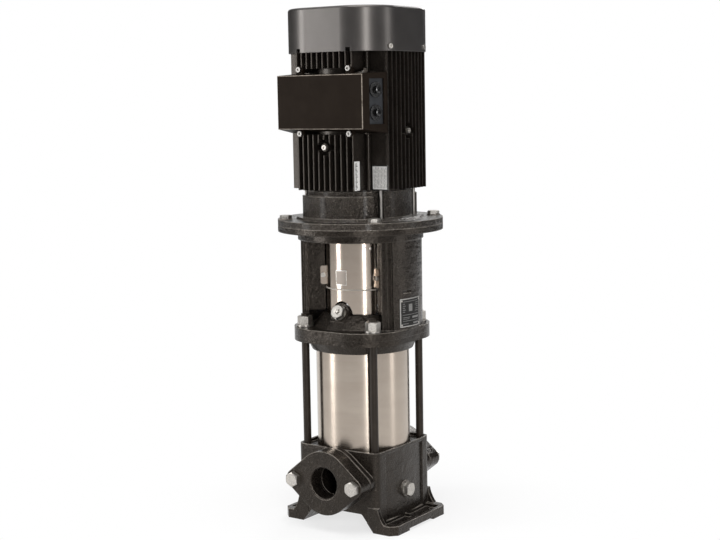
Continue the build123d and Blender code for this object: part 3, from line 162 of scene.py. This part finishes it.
def bumps(tree, shader, normal, layers):
    """Chains bump layers of (height, strength, distance) onto a normal and feeds the shader."""
    for height, strength, distance in layers:
        node = add(tree, "ShaderNodeBump")
        node.inputs["Strength"].default_value = strength
        node.inputs["Distance"].default_value = distance
        link(tree, height, node.inputs["Height"])
        if normal is not None:
            link(tree, normal, node.inputs["Normal"])
        normal = node.outputs["Normal"]
    link(tree, normal, shader.inputs["Normal"])


def edge_wear_and_highlight(tree, radius, amount):
    """Wear and painted highlight: up to amount on sharp edges that look up, much less on other edges, 0 on
    flat and smooth faces.
    """
    rounded = edge_normal(tree, radius)
    plain = add(tree, "ShaderNodeNewGeometry").outputs["Normal"]
    match = add(tree, "ShaderNodeVectorMath", operation="DOT_PRODUCT")
    link(tree, rounded, match.inputs[0])
    link(tree, plain, match.inputs[1])
    worn_and_highlit = add(tree, "ShaderNodeMath", operation="MULTIPLY", use_clamp=True)
    link(tree, spread(tree, match.outputs["Value"], amount, 0.0, *EDGE_MATCH), worn_and_highlit.inputs[0])
    split = add(tree, "ShaderNodeSeparateXYZ")
    link(tree, rounded, split.inputs["Vector"])
    link(tree, spread(tree, split.outputs["Z"], WEAR_AND_HIGHLIGHT_BELOW, 1.0, *EDGE_UP_FOR_HIGHLIGHT), worn_and_highlit.inputs[1])
    return worn_and_highlit.outputs["Value"]


def fillet_wear_and_highlight(tree, amount):
    """Wear and painted highlight: up to amount on the rounded edges of a box that stands square to the axes,
    0 on its flat faces.
    """
    split = add(tree, "ShaderNodeSeparateXYZ")
    link(tree, add(tree, "ShaderNodeTexCoord").outputs["Normal"], split.inputs["Vector"])
    largest = None
    for axis in "XYZ":
        size = add(tree, "ShaderNodeMath", operation="ABSOLUTE")
        link(tree, split.outputs[axis], size.inputs[0])
        if largest is None:
            largest = size.outputs["Value"]
            continue
        both = add(tree, "ShaderNodeMath", operation="MAXIMUM")
        link(tree, largest, both.inputs[0])
        link(tree, size.outputs["Value"], both.inputs[1])
        largest = both.outputs["Value"]
    return spread(tree, largest, amount, 0.0, *FILLET_MATCH)


def blend_colour(tree, factor, low, high):
    """Colour low where the factor is 0, high where it is 1; either may be a socket."""
    node = add(tree, "ShaderNodeMix", data_type="RGBA")
    link(tree, factor, node.inputs["Factor"])
    for socket, value in ((node.inputs[6], low), (node.inputs[7], high)):
        if isinstance(value, tuple):
            socket.default_value = (*value, 1)
        else:
            link(tree, value, socket)
    return node.outputs[2]


def painted(name, dark, light, rough, grain=900.0, grain_depth=0.00012, lumps=(), edge=0.0008,
            wear_and_highlight=0.0, worn_and_highlit=(0.36, 0.325, 0.285), specular=0.5, coat=0.0, specks_and_glints=None, tint=PAINT_TINT,
            square=False):
    """Paint on metal: two close colours, uneven gloss, fine grain, lumps, pale specks that are partly flecks
    and partly painted glints, and lighter edges that are partly wear and partly painted highlight.

    lumps are (scale, strength, depth), specks_and_glints is (scale, amount, colour), and square is for a box
    whose rounded edges are modelled.
    """
    mat, tree, shader = new_material(name)
    vector = coordinates(tree)
    clouds = noise(tree, vector, CLOUD_SCALE, 4.0)
    fine = noise(tree, vector, grain, 2.0)
    colour = ramp(tree, clouds, [(0.35, dark), (0.68, light)])
    # Pale specks: partly flecks in the paint, partly painted glints
    if specks_and_glints:
        scale, amount, pale = specks_and_glints
        speck_and_glint_dots = spread(tree, noise(tree, vector, scale, 4.0, 0.7), 0.0, amount, *SPECK_AND_GLINT_RANGE)
        colour = blend_colour(tree, speck_and_glint_dots, colour, pale)
    # Edges lightened with the worn colour: partly rubbed wear, partly a painted highlight that favours edges
    # looking up
    if wear_and_highlight:
        rubbed_and_highlit = add(tree, "ShaderNodeMath", operation="MULTIPLY", use_clamp=True)
        bare_and_highlit = fillet_wear_and_highlight(tree, wear_and_highlight) if square else edge_wear_and_highlight(tree, edge, wear_and_highlight)
        link(tree, bare_and_highlit, rubbed_and_highlit.inputs[0])
        breaks = noise(tree, vector, EDGE_BREAK_SCALE, 4.0, 0.7)
        link(tree, spread(tree, breaks, EDGE_BREAK_LEAST, 1.0, *EDGE_BREAK_RANGE), rubbed_and_highlit.inputs[1])
        colour = blend_colour(tree, rubbed_and_highlit.outputs["Value"], colour, worn_and_highlit)
    link(tree, colour, shader.inputs["Base Color"])
    link(tree, spread(tree, fine, rough[0], rough[1]), shader.inputs["Roughness"])
    layers = [(fine, 0.5, grain_depth)]
    for scale, strength, depth in lumps:
        layers.append((noise(tree, vector, scale, 3.0), strength, depth))
    shader.inputs["Specular IOR Level"].default_value = specular
    shader.inputs["Specular Tint"].default_value = tint
    shader.inputs["Coat Weight"].default_value = coat
    shader.inputs["Coat Roughness"].default_value = COAT_ROUGHNESS
    bumps(tree, shader, edge_normal(tree, edge), layers)
    return mat


def metal(name, dark, light, rough, grain=(40, 40, 40), grain_scale=30.0, edge=0.0004, depth=0.00003):
    """Bare or plated metal with a slightly uneven tone and gloss."""
    mat, tree, shader = new_material(name)
    vector = coordinates(tree, grain)
    pattern = noise(tree, vector, grain_scale, 3.0)
    link(tree, ramp(tree, pattern, [(0.3, dark), (0.7, light)]), shader.inputs["Base Color"])
    link(tree, spread(tree, pattern, rough[0], rough[1]), shader.inputs["Roughness"])
    shader.inputs["Metallic"].default_value = 1.0
    bumps(tree, shader, edge_normal(tree, edge), [(pattern, 0.4, depth)])
    return mat


def brushed(name, dark, light, rough, anisotropy=0.75, line_depth=0.0000012):
    """Sheet steel brushed around the shaft: fine level lines and highlights drawn out upwards."""
    mat, tree, shader = new_material(name)
    lines = noise(tree, coordinates(tree, LINE_STRETCH), 1.0, 3.0)
    clouds = noise(tree, coordinates(tree, CLOUD_STRETCH), 9.0, 4.0)
    streaks = noise(tree, coordinates(tree, STREAK_STRETCH), 1.0, 2.0)
    both = add(tree, "ShaderNodeMath", operation="ADD")
    link(tree, spread(tree, clouds, 0.0, CLOUD_SHARE), both.inputs[0])
    link(tree, spread(tree, streaks, 0.0, STREAK_SHARE), both.inputs[1])
    colour = ramp(tree, both.outputs["Value"], [(0.1, dark), (0.9, light)])
    link(tree, colour, shader.inputs["Base Color"])
    link(tree, spread(tree, lines, rough[0], rough[1]), shader.inputs["Roughness"])
    shader.inputs["Metallic"].default_value = 1.0
    shader.inputs["Anisotropic"].default_value = anisotropy
    shader.inputs["Anisotropic Rotation"].default_value = 0.25
    tangent = add(tree, "ShaderNodeTangent")
    tangent.direction_type = "RADIAL"
    tangent.axis = "Z"
    link(tree, tangent.outputs["Tangent"], shader.inputs["Tangent"])
    bumps(tree, shader, None, [(lines, 0.2, line_depth)])
    return mat


def soft(name, dark, light, rough, grain=500.0, depth=0.0001, specular=0.5):
    """Rubber, moulded plastic or carbon."""
    mat, tree, shader = new_material(name)
    pattern = noise(tree, coordinates(tree), grain, 3.0)
    link(tree, ramp(tree, pattern, [(0.35, dark), (0.65, light)]), shader.inputs["Base Color"])
    link(tree, spread(tree, pattern, rough[0], rough[1]), shader.inputs["Roughness"])
    shader.inputs["Specular IOR Level"].default_value = specular
    bumps(tree, shader, edge_normal(tree, 0.0005), [(pattern, 0.4, depth)])
    return mat


def cast_paint(name, edge, wear_and_highlight=0.0):
    """Black paint on smooth cast iron, its edges lighter as wear and painted highlight, its specks partly
    painted glints.
    """
    return painted(
        name, (0.007, 0.0056, 0.0045), (0.016, 0.013, 0.0105), (0.18, 0.34), 650.0, 0.0002,
        [(210.0, 0.6, 0.0014), (60.0, 0.6, 0.0024)], edge, wear_and_highlight, specular=0.34,
        specks_and_glints=(330.0, 0.4, (0.12, 0.104, 0.088)),
    )


# One look per material slot
# Wear amounts and worn colours below lighten edges: partly wear, partly painted highlight
looks = {
    "cast_black": cast_paint("cast_paint", 0.0026, 1.0),
    "motor_black": painted(
        "motor_paint", (0.0075, 0.006, 0.005), (0.0135, 0.011, 0.0092), (0.24, 0.36), 900.0, 0.0001,
        [(140.0, 0.3, 0.0005)], 0.0009, 0.8, (0.13, 0.115, 0.1), 0.32, 0.1,
    ),
    "lid_black": painted(
        "lid_paint", (0.0095, 0.0062, 0.0043), (0.013, 0.009, 0.0065), (0.45, 0.56), 1100.0, 0.00004,
        (), 0.0016, 1.0, (0.34, 0.295, 0.25), 0.06, square=True,
    ),
    "box_grey": painted(
        "box_paint", (0.017, 0.0175, 0.0195), (0.026, 0.027, 0.03), (0.4, 0.55), specular=0.25,
        tint=(0.9, 0.95, 1.0, 1.0),
    ),
    "sleeve_steel": brushed("sleeve_brushed", (0.45, 0.385, 0.325), (0.5, 0.435, 0.37), (0.235, 0.27)),
    "guard_steel": brushed("guard_brushed", (0.5, 0.425, 0.36), (0.55, 0.475, 0.405), (0.21, 0.24)),
    "zinc": metal(
        "zinc_plate", (0.3, 0.28, 0.25), (0.7, 0.67, 0.63), (0.3, 0.5), grain_scale=17.0, depth=0.0004,
    ),
    "rod_black": painted(
        "rod_oxide", (0.011, 0.0085, 0.007), (0.02, 0.0155, 0.0125), (0.3, 0.45), 700.0, 0.0002,
        specular=0.3,
    ),
    "wet_steel": metal("pressed_steel", (0.5, 0.49, 0.47), (0.66, 0.65, 0.63), (0.25, 0.4)),
    "shaft_steel": metal(
        "turned_steel", (0.42, 0.42, 0.42), (0.58, 0.58, 0.58), (0.22, 0.4), (8, 8, 1500), 1.0,
    ),
    "black_rubber": soft("rubber_seal", (0.012, 0.012, 0.012), (0.025, 0.025, 0.025), (0.6, 0.8)),
    "bronze": metal("bronze_bush", (0.42, 0.27, 0.11), (0.6, 0.42, 0.2), (0.25, 0.4)),
    "seal_carbon": soft("carbon_ring", (0.03, 0.03, 0.033), (0.06, 0.06, 0.065), (0.2, 0.35)),
    "lamination": metal(
        "sheet_stack", (0.12, 0.12, 0.13), (0.28, 0.28, 0.29), (0.4, 0.6), (5, 5, 2000), 1.0,
    ),
    "copper": metal("copper_wire", (0.4, 0.16, 0.06), (0.6, 0.3, 0.14), (0.25, 0.4), (5, 5, 900), 1.0),
    "cast_aluminium": metal("cast_rotor", (0.45, 0.45, 0.45), (0.6, 0.6, 0.6), (0.35, 0.55)),
    "plate_silver": metal("plate_satin", (0.36, 0.35, 0.335), (0.5, 0.485, 0.465), (0.4, 0.55)),
    "fan_plastic": soft("moulded_fan", (0.02, 0.02, 0.02), (0.04, 0.04, 0.04), (0.45, 0.6)),
    "plug_black": soft("moulded_plug", (0.005, 0.005, 0.005), (0.01, 0.01, 0.01), (0.1, 0.2)),
    "block_plastic": soft("moulded_block", (0.18, 0.06, 0.03), (0.26, 0.1, 0.05), (0.4, 0.55)),
}

# Looks of single nodes that differ from the rest of their slot
# Wear and worn colours below are partly painted highlight, and the specks are partly painted glints
node_looks = {
    "fan_cover": painted(
        "cover_paint", (0.022, 0.0205, 0.0198), (0.031, 0.029, 0.0283), (0.31, 0.38), 1400.0, 0.00003,
        (), 0.0014, 0.6, (0.2, 0.18, 0.16), 1.0, tint=(1.0, 0.93, 0.88, 1.0),
    ),
    "motor_flange": painted(
        "rough_cast_paint", (0.005, 0.0041, 0.0034), (0.02, 0.0165, 0.0135), (0.2, 0.38), 520.0, 0.0006,
        [(230.0, 1.0, 0.0034), (90.0, 0.7, 0.003)], 0.0024, 1.0, specular=0.38, coat=0.1,
        specks_and_glints=(300.0, 0.9, (0.2, 0.178, 0.155)),
    ),
    "tie_rods": metal("rod_plate", (0.2, 0.19, 0.175), (0.34, 0.32, 0.3), (0.35, 0.5)),
    "terminal_lid_screws": metal("screw_plate", (0.26, 0.25, 0.235), (0.4, 0.385, 0.37), (0.35, 0.5)),
    "priming_plug": metal(
        "plug_plate", (0.3, 0.285, 0.26), (0.5, 0.48, 0.45), (0.36, 0.55), depth=0.0002,
    ),
    "nameplates": soft("plate_enamel", (0.5, 0.49, 0.47), (0.66, 0.65, 0.63), (0.35, 0.5)),
    "pump_head": cast_paint("head_paint", 0.0008),
}

for part in frame["record"]["subparts"]:
    node = nodes[part["node"]]
    node.data.materials.clear()
    node.data.materials.append(node_looks.get(part["node"], looks[part["material_slot"]]))


# Trim that lies on the CAD pieces, in millimetres and degrees

# Type plate on the stool's leg: radius of its face, where it sits, half sizes of its dark field, and its
# print as (left, right, bottom, top) from the middle
LEG_FACE_R = 113.05
TYPE_PLATE_DEG = 265.9
TYPE_PLATE_Z = 391.5
TYPE_FIELD_HALF = (26.2, 23.7)
TYPE_PRINT = [
    (-22, 20, 19.6, 20.4), (-7, 3, 2, 15), (-23, 23, -4.2, -3.4),
    (3, 22, -11, -7.6), (-22, -4, -9, -8), (-22, -6, -11.6, -10.8), (-22, 20, -15.2, -14.4),
    (-22, -8, -20.2, -19.2), (6, 22, -21, -18.4),
]
TYPE_LINES = 5
TYPE_LINE_STEP = 3.6

# Rating plate on the motor's corner: face, middle, half sizes, width of its edge, and its columns of dashes
RATING_FACE_X = -61.2
RATING_MID_Y = -85.5
RATING_Z = 633.0
RATING_HALF = (17, 22)
RATING_EDGE = 2.0
RATING_COLUMNS = 9
RATING_COLUMN_STEP = 3.1
RATING_COLUMN_START = -12.4
RATING_DASH_SPAN = (-18.0, 15, 18)
RATING_DASH_W = 0.9
RATING_DASH_GAP = 1.6

# Sticker beside it: face, middle, half sizes and its dashes
LABEL_FACE_Y = -60.8
LABEL_MID_X = -95.0
LABEL_Z = 637.5
LABEL_HALF = (8, 25.3)
LABEL_DASHES = 20
LABEL_DASH_STEP = 2.3

# Coupling guard: radius, half angle, bead with its (up, out) profile, etched mark and rivets
GUARD_R = 63.5
GUARD_MID_DEG = 180.0
GUARD_HALF_DEG = 59.0
BEAD_Z = 430.6
BEAD_PROFILE = ((-1.1, 0.2), (-0.3, 1.5), (1.5, 0.35))
BEAD_STEPS = 48
MARK_DEG = 179.5
MARK_Z = 452.5
MARK_HALF = (10.6, 12.4)
MARK_EDGE_HALF = (12.0, 13.6)
MARK_EDGE = 1.4
RIVET_DEG = 221.0
RIVET_Z = 505.5
RIVET_APART = 10.5
RIVET_R = 2.7
RIVET_H = 1.5

# Round heads: (share of radius, share of height) from the foot to the top
HEAD_PROFILE = ((1.0, 0.0), (1.0, 0.45), (0.86, 0.8), (0.5, 0.97))
HEAD_SIDES = 20
DOME_R = 6.5
DOME_H = 3.2

print_looks = {
    "silver": soft("print_silver", (0.15, 0.147, 0.142), (0.23, 0.225, 0.217), (0.35, 0.5)),
    "dark": soft("print_dark", (0.01, 0.0095, 0.009), (0.018, 0.017, 0.016), (0.4, 0.55), specular=0.2),
    "grey": soft("print_grey", (0.09, 0.088, 0.085), (0.16, 0.157, 0.15), (0.5, 0.65)),
    "paper": soft("label_paper", (0.68, 0.67, 0.65), (0.8, 0.79, 0.77), (0.5, 0.65)),
    "etched": metal(
        "etched_steel", (0.3, 0.265, 0.235), (0.4, 0.355, 0.315), (0.5, 0.62), (300, 300, 300), 4.0,
    ),
    "bright": metal("bright_steel", (0.62, 0.58, 0.53), (0.78, 0.74, 0.69), (0.2, 0.32)),
    "bead_highlight": metal("bead_highlight_steel", (0.74, 0.69, 0.63), (0.86, 0.81, 0.75), (0.55, 0.65)),
}


def on_drum(radius, mid_deg):
    """Maps a place on an upright drum (across, up, out) to the shared frame, in metres."""
    def place(u, v, w):
        angle = math.radians(mid_deg) + u / radius
        return Vector(((radius + w) * math.cos(angle), (radius + w) * math.sin(angle), v)) * MM
    return place


def on_wall(origin, across, out):
    """Maps a place on an upright flat face (across, up, out) to the shared frame, in metres."""
    def place(u, v, w):
        return (Vector(origin) + Vector(across) * u + Vector((0, 0, v)) + Vector(out) * w) * MM
    return place


def finish_piece(name, form, look):
    """Turns a bmesh into a piece that rides on the pump's fixed body."""
    bmesh.ops.recalc_face_normals(form, faces=form.faces)
    mesh = bpy.data.meshes.new(name)
    form.to_mesh(mesh)
    form.free()
    mesh.materials.append(look)
    piece = bpy.data.objects.new(name, mesh)
    bpy.context.scene.collection.objects.link(piece)
    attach(piece, "frame")


def sweep(form, place, left, right, profile, steps=1):
    """Adds a strip with a closed (up, out) profile that runs from left to right, its ends shut."""
    columns = []
    for k in range(steps + 1):
        u = left + (right - left) * k / steps
        columns.append([form.verts.new(place(u, v, w)) for v, w in profile])
    sides = len(profile)
    for a, b in zip(columns, columns[1:]):
        for i in range(sides):
            j = (i + 1) % sides
            form.faces.new((a[i], a[j], b[j], b[i]))
    form.faces.new(columns[0])
    form.faces.new(columns[-1])


def patches(name, cells, place, low, high, look, steps=1):
    """Thin raised fields, each (left, right, bottom, top) on the face that place describes."""
    form = bmesh.new()
    for left, right, bottom, top in cells:
        sweep(form, place, left, right, ((bottom, low), (top, low), (top, high), (bottom, high)), steps)
    finish_piece(name, form, look)


def outline(half_w, z0, z1, width):
    """Four bars of a rectangular frame around the middle."""
    return [
        (-half_w, half_w, z0, z0 + width),
        (-half_w, half_w, z1 - width, z1),
        (-half_w, -half_w + width, z0 + width, z1 - width),
        (half_w - width, half_w, z0 + width, z1 - width),
    ]


def domed_heads(name, spots, place, radius, height, look):
    """Round heads at (across, up) spots."""
    form = bmesh.new()
    for u0, v0 in spots:
        rings = []
        for share, rise in HEAD_PROFILE:
            ring = []
            for k in range(HEAD_SIDES):
                turn = 2 * math.pi * k / HEAD_SIDES
                u = u0 + radius * share * math.cos(turn)
                v = v0 + radius * share * math.sin(turn)
                ring.append(form.verts.new(place(u, v, height * rise)))
            rings.append(ring)
        for a, b in zip(rings, rings[1:]):
            for k in range(HEAD_SIDES):
                n = (k + 1) % HEAD_SIDES
                form.faces.new((a[k], a[n], b[n], b[k]))
        form.faces.new(rings[-1])
        form.faces.new(rings[0])
    finish_piece(name, form, look)


def type_plate():
    """Dark printed field with plain bars and boxes inside the silver edge of the stool's plate."""
    place = on_drum(LEG_FACE_R, TYPE_PLATE_DEG)
    z = TYPE_PLATE_Z
    half_w, half_h = TYPE_FIELD_HALF
    field = [(-half_w, half_w, z - half_h, z + half_h)]
    patches("type_plate_field", field, place, 0.0, 0.12, print_looks["dark"], 12)
    bars = list(TYPE_PRINT)
    for k in range(TYPE_LINES):
        rise = TYPE_LINE_STEP * k
        bars.append((-22, -17 + (k % 2) * 2, 1 + rise, 2.2 + rise))
        bars.append((11 + (k % 3) * 2, 22, 1.2 + rise, 2.1 + rise))
    cells = [(left, right, z + bottom, z + top) for left, right, bottom, top in bars]
    patches("type_plate_print", cells, place, 0.1, 0.2, print_looks["silver"], 6)


def rating_plate():
    """Satin plate with a dark edge and columns of plain dashes of uneven length."""
    place = on_wall((RATING_FACE_X, RATING_MID_Y, RATING_Z), (0, -1, 0), (-1, 0, 0))
    half_w, half_h = RATING_HALF
    edge = outline(half_w, -half_h, half_h, RATING_EDGE)
    patches("rating_plate_edge", edge, place, 0.0, 0.15, print_looks["dark"])
    cells = []
    foot, last_start, top = RATING_DASH_SPAN
    for k in range(RATING_COLUMNS):
        u = RATING_COLUMN_START + RATING_COLUMN_STEP * k
        v = foot
        while v < last_start:
            length = 3.0 + (k * 5 + int(v + 20) * 3) % 7
            cells.append((u, u + RATING_DASH_W, v, min(v + length, top)))
            v += length + RATING_DASH_GAP
    patches("rating_plate_print", cells, place, 0.0, 0.1, print_looks["grey"])


def frame_label():
    """Paper label with a column of dashes."""
    place = on_wall((LABEL_MID_X, LABEL_FACE_Y, LABEL_Z), (1, 0, 0), (0, -1, 0))
    half_w, half_h = LABEL_HALF
    field = [(-half_w, half_w, -half_h, half_h)]
    patches("frame_label_paper", field, place, 0.0, 0.08, print_looks["paper"])
    cells = []
    for k in range(LABEL_DASHES):
        rise = LABEL_DASH_STEP * k
        cells.append((-5.5, -1.5 + (k * 7) % 4, -23 + rise, -21.8 + rise))
    patches("frame_label_print", cells, place, 0.06, 0.14, print_looks["dark"])


def guard_details():
    """Blank etched square, bead in paler steel as a painted highlight, and two rivets on the coupling guard.
    """
    place = on_drum(GUARD_R, MARK_DEG)
    half_w, half_h = MARK_HALF
    field = [(-half_w, half_w, MARK_Z - half_h, MARK_Z + half_h)]
    patches("guard_mark_field", field, place, 0.0, 0.12, print_looks["etched"], 10)
    half_w, half_h = MARK_EDGE_HALF
    edge = outline(half_w, MARK_Z - half_h, MARK_Z + half_h, MARK_EDGE)
    patches("guard_mark_edge", edge, place, 0.0, 0.3, print_looks["bright"], 10)
    # Bead of the guard's steel drawn paler than the sheet: a painted highlight line
    form = bmesh.new()
    reach = math.radians(GUARD_HALF_DEG) * GUARD_R
    profile = [(BEAD_Z + v, w) for v, w in BEAD_PROFILE]
    sweep(form, on_drum(GUARD_R, GUARD_MID_DEG), -reach, reach, profile, BEAD_STEPS)
    finish_piece("guard_bead", form, print_looks["bead_highlight"])
    domed_heads(
        "guard_rivets", [(0.0, RIVET_Z), (RIVET_APART, RIVET_Z)], on_drum(GUARD_R, RIVET_DEG),
        RIVET_R, RIVET_H, print_looks["bright"],
    )


def plug_domes():
    """Round glossy caps in the middle of the two blanking plugs."""
    low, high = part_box("blanking_plugs")
    width = (high[0] - low[0]) / MM
    origin = ((low[0] + high[0]) / 2 / MM, low[1] / MM, 0)
    spots = [(0, low[2] / MM + width / 2), (0, high[2] / MM - width / 2)]
    place = on_wall(origin, (1, 0, 0), (0, -1, 0))
    domed_heads("plug_domes", spots, place, DOME_R, DOME_H, looks["plug_black"])


type_plate()
rating_plate()
frame_label()
guard_details()
plug_domes()


# Studio, in metres, degrees and watts

# Flat direction from the pump to the camera, and the camera's right as the pump sees it
TO_CAMERA = Vector((-0.8207, -0.5713, 0))
TO_RIGHT = Vector((-TO_CAMERA.y, TO_CAMERA.x, 0))
CAMERA_AT = Vector((-2.1071, -1.4640, 0.7729))
TILT = math.radians(6.959)
ROLL = math.radians(1.015)
LENS = 70.684
SENSOR_W = 36
CLIP = (0.1, 60)

# Name, degrees to the camera's right, distance, height, width of the box, height of the box, power
SOFTBOXES = [
    ("softbox_left", -79, 2.6, 0.9, 0.55, 2.4, 40),
    ("softbox_right", 75, 2.6, 0.9, 0.5, 2.4, 14),
    ("softbox_front", 10, 3.4, 1.0, 0.36, 2.2, 46),
    ("softbox_top", -10, 0.9, 3.0, 1.8, 1.8, 46),
    ("softbox_back", 151, 2.6, 1.95, 1.1, 1.0, 26),
]
LIGHT_AIM = Vector((0, 0, 0.5))

# Grey wall: reach to each side of the camera, distance, top, and its tones from left to right
WALL_REACH = 170
WALL_DISTANCE = 4.5
WALL_TOP = 5.0
WALL_STEPS = 24
WALL_TONES = [
    (0.08, (0.075, 0.073, 0.07)),
    (0.22, (0.15, 0.145, 0.14)),
    (0.5, (0.2, 0.19, 0.178)),
    (0.72, (0.15, 0.148, 0.15)),
    (0.95, (0.08, 0.083, 0.09)),
]

# Floor: half its side, tone of the paper, and the share of plain white from near the pump outwards
FLOOR_HALF = 12.0
PAPER_TONE = 0.9
FADE_REACH = (0.1, 0.5)
FADE_LEAST = 0.72
WORLD_LIGHT = 0.6


def camera():
    data = bpy.data.cameras.new("camera")
    data.lens = LENS
    data.sensor_width = SENSOR_W
    data.clip_start, data.clip_end = CLIP
    cam = bpy.data.objects.new("camera", data)
    bpy.context.scene.collection.objects.link(cam)
    right = TO_RIGHT.normalized()
    view = -TO_CAMERA.normalized() * math.cos(TILT) - Vector((0, 0, math.sin(TILT)))
    up = right.cross(view)
    rolled_right = right * math.cos(ROLL) - up * math.sin(ROLL)
    rolled_up = up * math.cos(ROLL) + right * math.sin(ROLL)
    turn = Matrix((rolled_right, rolled_up, -view)).transposed().to_4x4()
    cam.matrix_world = Matrix.Translation(CAMERA_AT) @ turn
    bpy.context.scene.camera = cam


def around(degrees_right, distance, height):
    """Point at an angle to the right of the camera's direction, seen from the pump."""
    start = math.atan2(TO_CAMERA.y, TO_CAMERA.x)
    angle = start + math.radians(degrees_right)
    return Vector((distance * math.cos(angle), distance * math.sin(angle), height))


def softbox(name, degrees_right, distance, height, size_x, size_y, power):
    data = bpy.data.lights.new(name, "AREA")
    data.shape = "RECTANGLE"
    data.size = size_x
    data.size_y = size_y
    data.energy = power
    lamp = bpy.data.objects.new(name, data)
    bpy.context.scene.collection.objects.link(lamp)
    lamp.location = around(degrees_right, distance, height)
    lamp.rotation_mode = "QUATERNION"
    lamp.rotation_quaternion = (LIGHT_AIM - lamp.location).to_track_quat("-Z", "Y")


def grey_wall():
    """Grey sides of the studio, which the camera doesn't see but polished metal does."""
    mesh = bpy.data.meshes.new("studio_wall")
    form = bmesh.new()
    rows = []
    for k in range(WALL_STEPS + 1):
        angle = -WALL_REACH + 2 * WALL_REACH * k / WALL_STEPS
        rows.append([form.verts.new(around(angle, WALL_DISTANCE, z)) for z in (0.0, WALL_TOP)])
    for a, b in zip(rows, rows[1:]):
        form.faces.new((a[0], b[0], b[1], a[1]))
    form.to_mesh(mesh)
    form.free()
    wall = bpy.data.objects.new("studio_wall", mesh)
    bpy.context.scene.collection.objects.link(wall)
    mat, tree, shader = new_material("studio_wall_cloth")
    side = add(tree, "ShaderNodeVectorMath", operation="DOT_PRODUCT")
    link(tree, coordinates(tree), side.inputs[0])
    side.inputs[1].default_value = TO_RIGHT
    tone = spread(tree, side.outputs["Value"], 0.0, 1.0, -WALL_DISTANCE, WALL_DISTANCE)
    link(tree, ramp(tree, tone, WALL_TONES), shader.inputs["Base Color"])
    shader.inputs["Roughness"].default_value = 1.0
    mesh.materials.append(mat)
    wall.visible_camera = False
    wall.visible_shadow = False


def floor():
    """Pale paper that shows the pump's shadow and turns white away from it."""
    mesh = bpy.data.meshes.new("floor")
    corners = [(i * FLOOR_HALF, j * FLOOR_HALF, 0) for i, j in ((-1, -1), (1, -1), (1, 1), (-1, 1))]
    mesh.from_pydata(corners, [], [(0, 1, 2, 3)])
    obj = bpy.data.objects.new("floor", mesh)
    bpy.context.scene.collection.objects.link(obj)
    mat, tree, shader = new_material("floor_paper")
    shader.inputs["Roughness"].default_value = 0.9
    shader.inputs["Base Color"].default_value = (PAPER_TONE, PAPER_TONE, PAPER_TONE, 1)
    white = add(tree, "ShaderNodeEmission")
    white.inputs["Strength"].default_value = 1.0
    place = add(tree, "ShaderNodeTexCoord")
    length = add(tree, "ShaderNodeVectorMath", operation="LENGTH")
    link(tree, place.outputs["Object"], length.inputs[0])
    fade = add(tree, "ShaderNodeMapRange", interpolation_type="SMOOTHSTEP")
    fade.inputs["From Min"].default_value = FADE_REACH[0]
    fade.inputs["From Max"].default_value = FADE_REACH[1]
    fade.inputs["To Min"].default_value = FADE_LEAST
    link(tree, length.outputs["Value"], fade.inputs["Value"])
    rays = add(tree, "ShaderNodeLightPath")
    seen = add(tree, "ShaderNodeMath", operation="ADD", use_clamp=True)
    link(tree, rays.outputs["Is Camera Ray"], seen.inputs[0])
    link(tree, rays.outputs["Is Glossy Ray"], seen.inputs[1])
    both = add(tree, "ShaderNodeMath", operation="MULTIPLY")
    link(tree, fade.outputs["Result"], both.inputs[0])
    link(tree, seen.outputs["Value"], both.inputs[1])
    mix = add(tree, "ShaderNodeMixShader")
    link(tree, both.outputs["Value"], mix.inputs["Fac"])
    link(tree, shader.outputs["BSDF"], mix.inputs[1])
    link(tree, white.outputs["Emission"], mix.inputs[2])
    link(tree, mix.outputs["Shader"], tree.nodes["Material Output"].inputs["Surface"])
    mesh.materials.append(mat)


def world():
    """White where the camera, gloss or glass sees it, and a mild grey as light."""
    made = bpy.data.worlds.new("studio")
    made.use_nodes = True
    tree = made.node_tree
    back = tree.nodes["Background"]
    back.inputs["Color"].default_value = (1, 1, 1, 1)
    rays = add(tree, "ShaderNodeLightPath")
    total = add(tree, "ShaderNodeMath", operation="ADD", use_clamp=True)
    link(tree, rays.outputs["Is Camera Ray"], total.inputs[0])
    link(tree, rays.outputs["Is Glossy Ray"], total.inputs[1])
    with_glass = add(tree, "ShaderNodeMath", operation="ADD", use_clamp=True)
    link(tree, total.outputs["Value"], with_glass.inputs[0])
    link(tree, rays.outputs["Is Transmission Ray"], with_glass.inputs[1])
    level = add(tree, "ShaderNodeMapRange")
    level.inputs["To Min"].default_value = WORLD_LIGHT
    level.inputs["To Max"].default_value = 1.0
    link(tree, with_glass.outputs["Value"], level.inputs["Value"])
    link(tree, level.outputs["Result"], back.inputs["Strength"])
    bpy.context.scene.world = made


camera()
world()
floor()
grey_wall()
for box in SOFTBOXES:
    softbox(*box)
bpy.context.scene.view_settings.view_transform = "Standard"
